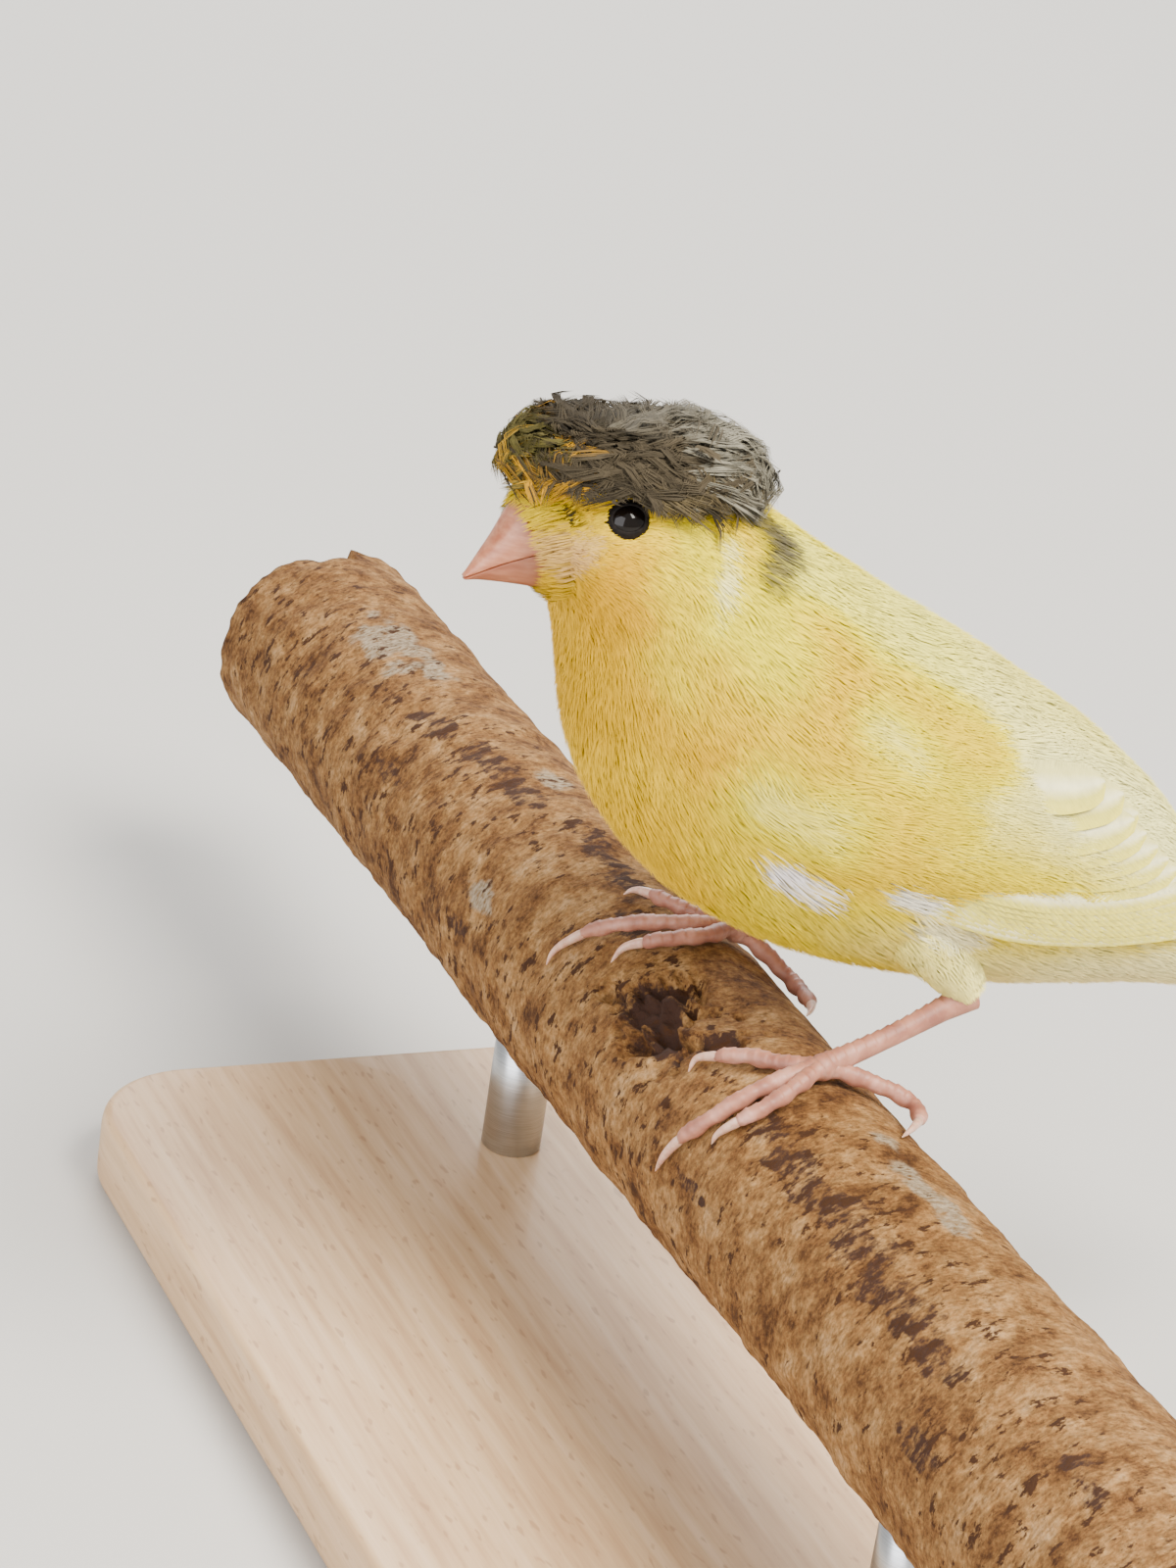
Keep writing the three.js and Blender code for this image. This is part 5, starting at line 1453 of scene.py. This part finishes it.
# %% Shanks, toes and claws
TOE_RADIUS, TOE_RINGS, TOE_SIDES = 0.85, 110, 24
TOE_GIRTH = [1.25, 0.95, 1.02, 0.86, 0.98, 0.8, 0.9, 0.52, 0.36, 0.1]
TOE_SCUTE_MM, TOE_PAD_MM = 1.05, 2.6
TOE_SCUTE_HIGH, TOE_PAD_HIGH = 0.12, 0.10
# Where the claw starts, and how far skin and horn overlap there, as shares of the toe
CLAW_FROM, CLAW_OVERLAP = 0.74, 0.03
CLAW_GIRTH, CLAW_SIDES, CLAW_OVAL = [0.42, 0.52, 0.4, 0.2, 0.05], 16, 1.25


def toe_parts(joint, toe):
    """One toe's skin and claw as tubes."""
    line, length = even_line([joint, *[on_perch(*p) for p in toe]], TOE_RINGS)
    t = np.linspace(0, 1, TOE_RINGS)
    outward = unit(line * [1, 0, 1])
    flesh = t <= CLAW_FROM + CLAW_OVERLAP
    turn = np.arange(TOE_SIDES) * 2 * math.pi / TOE_SIDES
    girth = TOE_RADIUS * np.interp(t, np.linspace(0, 1, len(TOE_GIRTH)), TOE_GIRTH)
    girth = girth * np.interp(t, [0, CLAW_FROM - 0.02, CLAW_FROM + 0.03], [1, 1, 0.55])
    plates = (t * length / TOE_SCUTE_MM) % 1
    top = np.clip(np.cos(turn), 0, 1) ** 0.5
    pads = TOE_PAD_HIGH * np.sin(t * length / TOE_PAD_MM * 2 * math.pi)
    radii = girth[:, None] + TOE_SCUTE_HIGH * (1 - plates)[:, None] ** 1.5 * top
    radii = radii + pads[:, None] * np.clip(-np.cos(turn), 0, 1)
    horny = t >= CLAW_FROM - CLAW_OVERLAP
    s = (t[horny] - t[horny][0]) / (1 - t[horny][0])
    claw = TOE_RADIUS * np.interp(s, [0, 0.15, 0.5, 0.85, 1], CLAW_GIRTH)
    claw = claw[:, None] * np.ones((1, CLAW_SIDES))
    return (tube(sleeve(line[flesh], radii[flesh], outward[flesh])),
            tube(sleeve(line[horny], claw, outward[horny], CLAW_OVAL)))


SHANK_RADIUS, SHANK_SCUTES, SHANK_SCUTE_HIGH, SHANK_OVAL = 0.95, 15, 0.15, 1.08
SHANK_RINGS, SHANK_SIDES = 120, 28
SHANK_GIRTH = [1.5, 1.1, 0.98, 0.95, 1.0, 1.15]
KNUCKLE_RADIUS = 1.3

for side, leg in FEET.items():
    heel = LEG_HEELS[side]
    joint = leg["joint"]
    line, _ = even_line([heel, (joint + heel) / 2 - [0, 0, 0.3], joint], SHANK_RINGS)
    t = np.linspace(0, 1, SHANK_RINGS)
    turn = np.arange(SHANK_SIDES) * 2 * math.pi / SHANK_SIDES
    girth = SHANK_RADIUS * np.interp(t, np.linspace(0, 1, len(SHANK_GIRTH)), SHANK_GIRTH)
    front = np.clip(np.cos(turn), 0, 1) ** 0.4
    plates = (t * SHANK_SCUTES) % 1
    radii = girth[:, None] + SHANK_SCUTE_HIGH * (1 - plates)[:, None] ** 1.5 * front
    shank = tube(sleeve(line, radii, np.broadcast_to([1.0, 0, 0.35], line.shape), SHANK_OVAL))
    new_piece(f"shank_scutes_{side}", *shank, leg_skin, "leg_skin", swaps=(f"shank_{side}",))
    knuckle = tube(ball_rings(joint, KNUCKLE_RADIUS, 20, 28))
    toes, claws = zip(*[toe_parts(joint, toe) for toe in leg["toes"]])
    new_piece(f"toes_{side}", *gather([knuckle, *toes]), leg_skin, "leg_skin", swaps=(f"foot_{side}",))
    new_piece(f"claws_{side}", *gather(claws), claw_horn, "leg_skin")

# %% [markdown]
# Short bristly feathers lie forward over the bill's root and hide the seam between horn and skin. The
# coat's own fans all run backwards from the bill and would leave that seam bare. So these are barbs of
# their own, rooted on the first rings of the loft and drawn straight towards the bill's tip.

# %% The fringe round the bill
FRINGE_COUNT = 1500
FRINGE_TIP = np.array([36.0, 0, 60.0])
FRINGE_HALF_WIDTH, FRINGE_ARCH, FRINGE_SUNK = 0.07, 0.75, 0.1

draw = np.random.default_rng(71)
station = draw.uniform(0.05, 1.1, FRINGE_COUNT)
turn = draw.uniform(0, 2 * math.pi, FRINGE_COUNT)
root = look_up(station, turn)
way = unit(FRINGE_TIP - root[:, :3])
length = draw.uniform(0.9, 1.7, FRINGE_COUNT) * np.interp(np.cos(turn), [-1, 0, 1], [0.8, 0.8, 1.1])
out = root[:, 3:6]
steps = np.linspace(0, 1, 3)[None, :, None]
fringe = (root[:, None, :3] + out[:, None] * (FRINGE_ARCH * np.sin(math.pi * 0.55 * steps) - FRINGE_SUNK)
          + way[:, None] * steps * length[:, None, None])
fringe_widths = np.full((FRINGE_COUNT, 3), FRINGE_HALF_WIDTH)
fringe_roots = bake_place(station, turn)
dress("bill_fringe", draw, [(fringe, np.repeat(out[:, None], 3, 1), fringe_widths, fringe_roots,
                             draw.normal(0, 1, FRINGE_COUNT))], "plumage_yellow")

# %% [markdown]
# The branch is a cut length of a thick twig, bark and all. It could be a plain cylinder with a bump map,
# but its edge shows against the floor. So the knobs, the hollow knot between the feet and the notch at the
# sawn end are in the mesh. Lumps come from waves in many directions, which have no seam round the branch.

# %% The branch's lumps
NEAR_END, FAR_END = -98.0, 118.0
BRANCH_RINGS, BRANCH_SIDES = 330, 216
WAVES = 28


def lumps(points, wavelength, draw):
    """Smooth noise in space between about -1 and 1: a sum of waves of one length in many directions."""
    total = np.zeros(points.shape[:-1])
    for _ in range(WAVES):
        way = unit(draw.normal(0, 1, 3)) * 2 * math.pi / (wavelength * draw.uniform(0.75, 1.4))
        total += np.sin(points @ way + draw.uniform(0, 2 * math.pi))
    return total / math.sqrt(WAVES)


draw = np.random.default_rng(81)
branch_y, branch_angle = np.meshgrid(
    np.linspace(NEAR_END, FAR_END, BRANCH_RINGS),
    np.arange(BRANCH_SIDES) * 2 * math.pi / BRANCH_SIDES - math.pi, indexing="ij")
spot = np.stack([PERCH_RADIUS * np.sin(branch_angle), branch_y, PERCH_RADIUS * np.cos(branch_angle)], -1)
fibre_spot = spot * [1.0, 2.2, 1.0]
knobs = 0.16 * lumps(spot, 9, draw) + 0.09 * lumps(spot, 3.5, draw) + 0.05 * lumps(fibre_spot, 1.8, draw)
# Flatter under the feet, so the toes rest on the bark
under_feet = 1 - 0.65 * np.exp(-((branch_y - 1) / 24) ** 4) * ease((np.cos(branch_angle) + 0.1) / 0.5)
radius = perch_radius(branch_angle, branch_y) + knobs * under_feet - 0.05
print(f"bark's knobs: {np.ptp(knobs):.2f} mm from lowest to highest")

# %% [markdown]
# A knot is where a side twig died and the bark closed round it, and it leaves a ragged hollow. The far end
# was broken off first and sawn after, so a piece is missing there and its edge is uneven. A boolean cut
# would be too clean, so ovals with a ragged rim are pressed in, and the rings at both ends are pushed
# about.

# %% Hollows, notch and ragged ends
NOTCH_FROM, NOTCH_AHEAD, NOTCH_HALF, NOTCH_TOP = 115.0, 2.0, 4.0, 10.8
# (degrees ahead of the top, place along, half angle, half length, depth)
HOLLOWS = [(34, 7.0, 14, 4.2, 1.7), (22, -1.5, 11, 2.2, 1.0), (46, 1.5, 9, 3.0, 0.8)]
HOLLOW_EDGE, PAINT_EDGE = 0.9, 0.35
ragged = 0.8 * lumps(spot, 4.5, np.random.default_rng(82)) + 0.5 * lumps(spot, 1.6, np.random.default_rng(83))


def patch(angle, y, half_angle, half_length, edge):
    """1 inside an oval on the branch (degrees, millimetres) with a ragged soft edge, 0 outside."""
    far = np.hypot((np.degrees(branch_angle) - angle) / half_angle, (branch_y - y) / half_length)
    return ease((1 + ragged * edge - far) / edge + 0.5)


for *oval, deep in HOLLOWS:
    radius = radius - deep * patch(*oval, HOLLOW_EDGE)
shift = 0.5 * lumps(spot, 3.0, draw) * ease((np.abs(branch_y - 10) - 105) / 3)
place_y = branch_y - np.abs(shift) * np.sign(branch_y)
ahead, up = radius * np.sin(branch_angle), radius * np.cos(branch_angle)
notched = (branch_y > NOTCH_FROM) & (np.abs(ahead - NOTCH_AHEAD) < NOTCH_HALF) & (up > NOTCH_TOP)
up = np.where(notched, NOTCH_TOP + 0.2 * ragged, up)
branch_rings = np.stack([ahead, -place_y, up], -1)
print("branch:", np.round(np.ptp(branch_rings.reshape(-1, 3), axis=0), 1), "mm")

# %% [markdown]
# Bark has no one brown. A purple brown band of old wounds, pale grey patches where it has peeled and denser
# specks near the knot make this branch itself and no other. Noise alone can't put them in their places, and
# a painted picture would be a texture. So where they lie is written into the mesh as soft masks, one a
# channel.

# %% Where the bark is peeled, wounded and speckled
# (degrees ahead of the top, place along, half angle, half length)
PEELED = [(12, 91, 14, 7), (4, 83, 7, 3), (-7, 53.6, 7, 3), (-8, -32, 6, 6.5), (-12, -36, 5, 4),
          (64, 40, 6, 3)]
WOUNDS = [(30, -14, 6, 5), (33, -22, 8, 6), (34, -34, 11, 10), (37, -47, 11, 7), (40, -54, 8, 5),
          (75, -16, 4, 5), (24, 71, 8, 6), (17, 60, 8, 6), (14, 52, 9, 7), (4, 34, 8, 9), (36, 8, 17, 4.5),
          (44, 3, 9, 4), (20, -1, 12, 2.5), (83, 42, 5, 3), (28, -75, 6, 3), (15, 20, 10, 4), (60, 70, 6, 3),
          (70, -60, 6, 4)]
KNOT_HEART = [(34, 7.5, 12, 3.2), (42, 2.5, 7, 2.0), (22, -2.0, 9, 1.2)]
# Denser specks; the first patch darkens the far end, partly with the bark's own specks and partly as painted
# shade
SPECKS_AND_PAINTED_SHADE = [(50, 92, 50, 28), (20, 60, 30, 26), (30, -40, 30, 34), (40, 10, 40, 14), (50, -75, 40, 20),
            (100, 30, 40, 60)]
LEAST_SPECKLED, HEART_DARKER = 0.35, 0.8


def painted(places):
    return np.max([patch(*place, PAINT_EDGE) for place in places], axis=0)


# Blue channel: specks, and at the far end painted shade as well
masks = np.stack([painted(PEELED), painted(WOUNDS) + HEART_DARKER * painted(KNOT_HEART),
                  LEAST_SPECKLED + (1 - LEAST_SPECKLED) * painted(SPECKS_AND_PAINTED_SHADE)], -1)
print("of the bark, peeled:", round(float((masks[..., 0] > 0.5).mean()), 3),
      "wounded:", round(float((masks[..., 1] > 0.5).mean()), 3))

# %% [markdown]
# Dry bark is tan and mottled a few millimetres across, with darker specks drawn out round the branch where
# it has split. The nodes lay these over each other from the ground up, as they grew: mottle, fibres, peeled
# patches, wounds, specks. A mask doesn't fade a speckle in, it lowers the speckle's threshold, so specks
# grow and join towards the middle of a wound as they do on the real bark.

# %% Bark
MOTTLE_MM, FIBRE_MM, SPECK_MM = 4.5, 0.7, 2.4

# Dead cork cells: fully matt and rough, so the branch takes the light without any shine
bark, tree, shader = new_material("dry tan bark", {"Roughness": 0.9, "Specular IOR Level": 0.2})
where = add(tree, "TexCoord").outputs["Object"]
squeezed = add(tree, "Mapping", {"Scale": (1.0, 1.8, 1.0)}, {"Vector": where})
mottle, fibre, speck = (
    add(tree, "TexNoise", {"Scale": 1 / (size * MM), "Detail": detail, "Roughness": rough}, {"Vector": place})
    for size, detail, rough, place in ((MOTTLE_MM, 7.0, 0.78, where), (FIBRE_MM, 3.0, 0.6, squeezed),
                                       (SPECK_MM, 5.0, 0.68, squeezed)))
region = add(tree, "SeparateColor", links={"Color": add(tree, "Attribute", {"attribute_name": "Markings"})})

tan = add(tree, "ValToRGB", {"stops": [(0.36, "#4a2d15"), (0.44, "#714c28"), (0.52, "#8b6439"),
                                       (0.6, "#a07a4d"), (0.7, "#b39168")]}, {"Fac": mottle})
fibre_shade = add(tree, "ValToRGB", {"stops": [(0.3, "#b4b0ac"), (0.6, "#ffffff")]}, {"Fac": fibre})
grained = add(tree, "Mix", {"data_type": "RGBA", "blend_type": "MULTIPLY", 0: 1.0}, {6: tan, 7: fibre_shade})
bare_wood = add(tree, "ValToRGB", {"stops": [(0.35, "#6b5c48"), (0.65, "#9b8a72")]}, {"Fac": fibre})
torn = add(tree, "MapRange", {"From Min": 0.3, "From Max": 0.5}, {"Value": fibre})
peel_share = add(tree, "Math", {"operation": "MULTIPLY"}, {0: region.outputs["Red"], 1: torn})
layer = add(tree, "Mix", {"data_type": "RGBA"}, {0: peel_share, 6: grained.outputs[2], 7: bare_wood})
# Green lowers the threshold for wounds, and blue for specks, which at the far end are partly painted shade
for channel, push, (low, high), colour in (("Green", 0.26, (0.68, 0.8), "#38241b"),
                                           ("Blue", 0.1, (0.65, 0.7), "#3a2211")):
    pushed = add(tree, "Math", {"operation": "MULTIPLY_ADD", 1: push}, {0: region.outputs[channel], 2: speck})
    share = add(tree, "MapRange", {"From Min": low, "From Max": high}, {"Value": pushed})
    layer = add(tree, "Mix", {"data_type": "RGBA", 7: (*linear(colour), 1)}, {0: share, 6: layer.outputs[2]})
crust = add(tree, "Math", {"operation": "ADD"}, {0: mottle, 1: speck})
relief = add(tree, "Bump", {"Strength": 0.7, "Distance": 0.0006}, {"Height": crust})
surface(shader, layer.outputs[2], relief)
new_piece("branch_bark", *tube(branch_rings), bark, "bark",
          np.vstack([masks.reshape(-1, 3), np.zeros((2, 3))]), swaps=("perch",))

# %% [markdown]
# Both ends are sawn, so they show the year rings of the wood. The branch's own end could carry them, but a
# separate thin disc, a little inside the bark's rim, shows the step from bark to wood that every sawn
# branch has. Year rings are rings round the branch's middle, so a ring wave turned along the branch draws
# them.

# %% The sawn ends
YEAR_RING_MM = 0.8
# The pith lies a little off the middle, as on most branches
PITH = (0.0012, 0.0, -PERCH_HEIGHT * MM + 0.0008)
# Sawn end grain: open pores make it matt, and the rings tell how the branch grew
sawn, tree, shader = new_material("sawn end grain", {"Roughness": 0.85, "Specular IOR Level": 0.2})
centred = add(tree, "Mapping", {"Location": PITH}, {"Vector": add(tree, "TexCoord").outputs["Object"]})
years = add(tree, "TexWave", {
    "wave_type": "RINGS", "rings_direction": "Y", "Distortion": 1.6, "Detail": 3.0, "Detail Scale": 6.0,
    "Scale": 2 * math.pi / (20 * YEAR_RING_MM * MM)}, {"Vector": centred})
end_grain = add(tree, "ValToRGB", {"stops": [(0.1, "#8d6a44"), (0.6, "#b08d61"), (1.0, "#c6a67b")]},
                {"Fac": years.outputs["Fac"]})
surface(shader, end_grain)
# From the outer rim to the middle: share of the branch's radius, and depth inside its end
END_SHARES = [0.9, 0.96, 0.96, 0.8, 0.6, 0.4, 0.2, 0.03]
END_DEPTHS = [-0.8, -0.5, 0.12, 0.16, 0.16, 0.16, 0.16, 0.16]
for name, index, outward in (("near", 0, -1), ("far", -1, 1)):
    rim = branch_rings[index]
    middle = rim.mean(0)
    flat = rim * [1, 0, 1] + middle * [0, 1, 0]
    end_rings = np.array([middle * (1 - share) + (rim if share > 0.9 else flat) * share
                          - np.array([0, outward * (depth + (0 if share > 0.9 else 0.1)), 0])
                          for share, depth in zip(END_SHARES, END_DEPTHS)])
    new_piece(f"branch_end_{name}", *tube(end_rings), sawn, "bark")

# %% [markdown]
# The stand is plain, so it doesn't draw the eye: a flat beech base with softened edges, and two brushed
# steel rods that run up into the branch. A cube with a bevel modifier would do. Here the base is the same
# kind of tube as the rest, through a rounded outline that is drawn in at the bottom and the top, and the
# soft edge catches the light all round as a planed and sanded edge does.

# %% The base's shape
BASE_SIZE, BASE_CORNER = (84.0, 140.0, 8.0), 12.0
BASE_PROFILE = [
    # (inset from the outline, height)
    (6, 0), (1.2, 0), (0.8, 0.06), (0.35, 0.35), (0.1, 0.8), (0, 1.4), (0, 6.6), (0.1, 7.2), (0.35, 7.65),
    (0.8, 7.94), (1.2, 8), (6, 8),
]
CORNER_STEPS = 14


def rounded_outline(inset):
    """The base's outline in its own plane, drawn in by an inset."""
    half_x, half_y = BASE_SIZE[0] / 2 - BASE_CORNER, BASE_SIZE[1] / 2 - BASE_CORNER
    outline = []
    for quarter, (sx, sy) in enumerate([(1, 1), (-1, 1), (-1, -1), (1, -1)]):
        for angle in np.linspace(0, math.pi / 2, CORNER_STEPS) + quarter * math.pi / 2:
            outline.append((sx * half_x + (BASE_CORNER - inset) * math.cos(angle),
                            sy * half_y + (BASE_CORNER - inset) * math.sin(angle)))
    return np.array(outline)


def stand_place(x, y, z):
    """A place given in the model's frame, in the bird's axes."""
    return np.stack(np.broadcast_arrays(-np.asarray(x), -np.asarray(y), np.asarray(z) - PERCH_HEIGHT), -1)


base_rings = np.array([stand_place(*rounded_outline(inset).T, height) for inset, height in BASE_PROFILE])
print("base:", *BASE_SIZE, "mm, in", len(BASE_PROFILE), "rings")

# %% [markdown]
# Beech is pale and even, with a fine straight grain and short dark flecks, which are its rays cut along the
# board. A wood picture would repeat. Noise that is drawn out along the board gives the grain, and a second
# one, drawn out less and cut off high, leaves only the flecks.

# %% Oiled beech
GRAIN_MM, FLECK_MM = 1.6, 0.8
GRAIN_DRAWN_OUT, FLECK_DRAWN_OUT = (1.0, 0.05, 1.0), (1.0, 0.3, 1.0)

# Oil soaks in and leaves no film: a satin that shows the grain, with only a breath of gloss
beech, tree, shader = new_material("oiled beech", {
    "Roughness": 0.5, "Specular IOR Level": 0.35, "Coat Weight": 0.05})
where = add(tree, "TexCoord").outputs["Object"]
along = add(tree, "Mapping", {"Scale": GRAIN_DRAWN_OUT}, {"Vector": where})
flecks_at = add(tree, "Mapping", {"Scale": FLECK_DRAWN_OUT}, {"Vector": where})
grain = add(tree, "TexNoise", {"Scale": 1 / (GRAIN_MM * MM), "Detail": 4.0, "Roughness": 0.6},
            {"Vector": along})
fleck = add(tree, "TexNoise", {"Scale": 1 / (FLECK_MM * MM), "Detail": 1.0}, {"Vector": flecks_at})
plank = add(tree, "ValToRGB", {"stops": [(0.3, "#b48d63"), (0.5, "#c6a279"), (0.7, "#d2b28c")]},
            {"Fac": grain})
share = add(tree, "MapRange", {"From Min": 0.64, "From Max": 0.72, "To Max": 0.45}, {"Value": fleck})
flecked = add(tree, "Mix", {"data_type": "RGBA", 7: (*linear("#8e6540"), 1)}, {0: share, 6: plank})
surface(shader, flecked.outputs[2])
new_piece("base_board", *tube(base_rings), beech, "stand_wood", swaps=("stand_base",))

# %% [markdown]
# The rods are plain round steel, turned and brushed. An anisotropic shader would show the brushing too, but
# it needs a tangent map. Noise squeezed along the rod draws fine lines round it instead, in tone and in a
# shallow relief. Each rod's upper end follows the underside of the branch, so it meets the bark with the
# same small gap all round.

# %% The rods
ROD_RADIUS, ROD_SIDES = 3.2, 64
ROD_PLACES = {"far": 48.0, "near": -44.0}
ROD_CLEAR = 0.02
# Brushing lines are 0.1 mm apart: a noise 4 mm across, squeezed forty times along the rod
BRUSH_MM, BRUSH_SQUEEZE = 4, 40.0

# Brushed steel: bright but soft, because the fine lines spread each highlight
steel, tree, shader = new_material("brushed steel", {"Metallic": 1.0, "Roughness": 0.32})
brushed_at = add(tree, "Mapping", {"Scale": (1.0, 1.0, BRUSH_SQUEEZE)},
                 {"Vector": add(tree, "TexCoord").outputs["Object"]})
brushing = add(tree, "TexNoise", {"Scale": 1 / (BRUSH_MM * MM), "Detail": 3.0}, {"Vector": brushed_at})
metal = add(tree, "ValToRGB", {"stops": [(0.3, "#a9abad"), (0.7, "#c4c6c8")]}, {"Fac": brushing})
relief = add(tree, "Bump", {"Strength": 0.08, "Distance": 0.00005}, {"Height": brushing})
surface(shader, metal, relief)
around = np.arange(ROD_SIDES) * 2 * math.pi / ROD_SIDES


def rod_ring(radius, y, height=None):
    """One ring of a rod; with no height it follows the branch's underside."""
    x = radius * np.cos(around)
    under = PERCH_HEIGHT - np.sqrt(perch_radius(math.pi, y) ** 2 - x ** 2) - GAP
    return stand_place(x, y + radius * np.sin(around), under if height is None else height + 0 * x)


foot = BASE_SIZE[2] + ROD_CLEAR
for name, y in ROD_PLACES.items():
    rings = [rod_ring(0.1, y, foot), rod_ring(ROD_RADIUS - 0.2, y, foot), rod_ring(ROD_RADIUS, y, foot + 0.2),
             rod_ring(ROD_RADIUS, y, foot + 7), rod_ring(ROD_RADIUS, y), rod_ring(ROD_RADIUS * 0.5, y),
             rod_ring(0.1, y)]
    new_piece(f"rod_{name}", *tube(np.array(rings)), steel, "stand_steel", swaps=(f"stand_rod_{name}",))
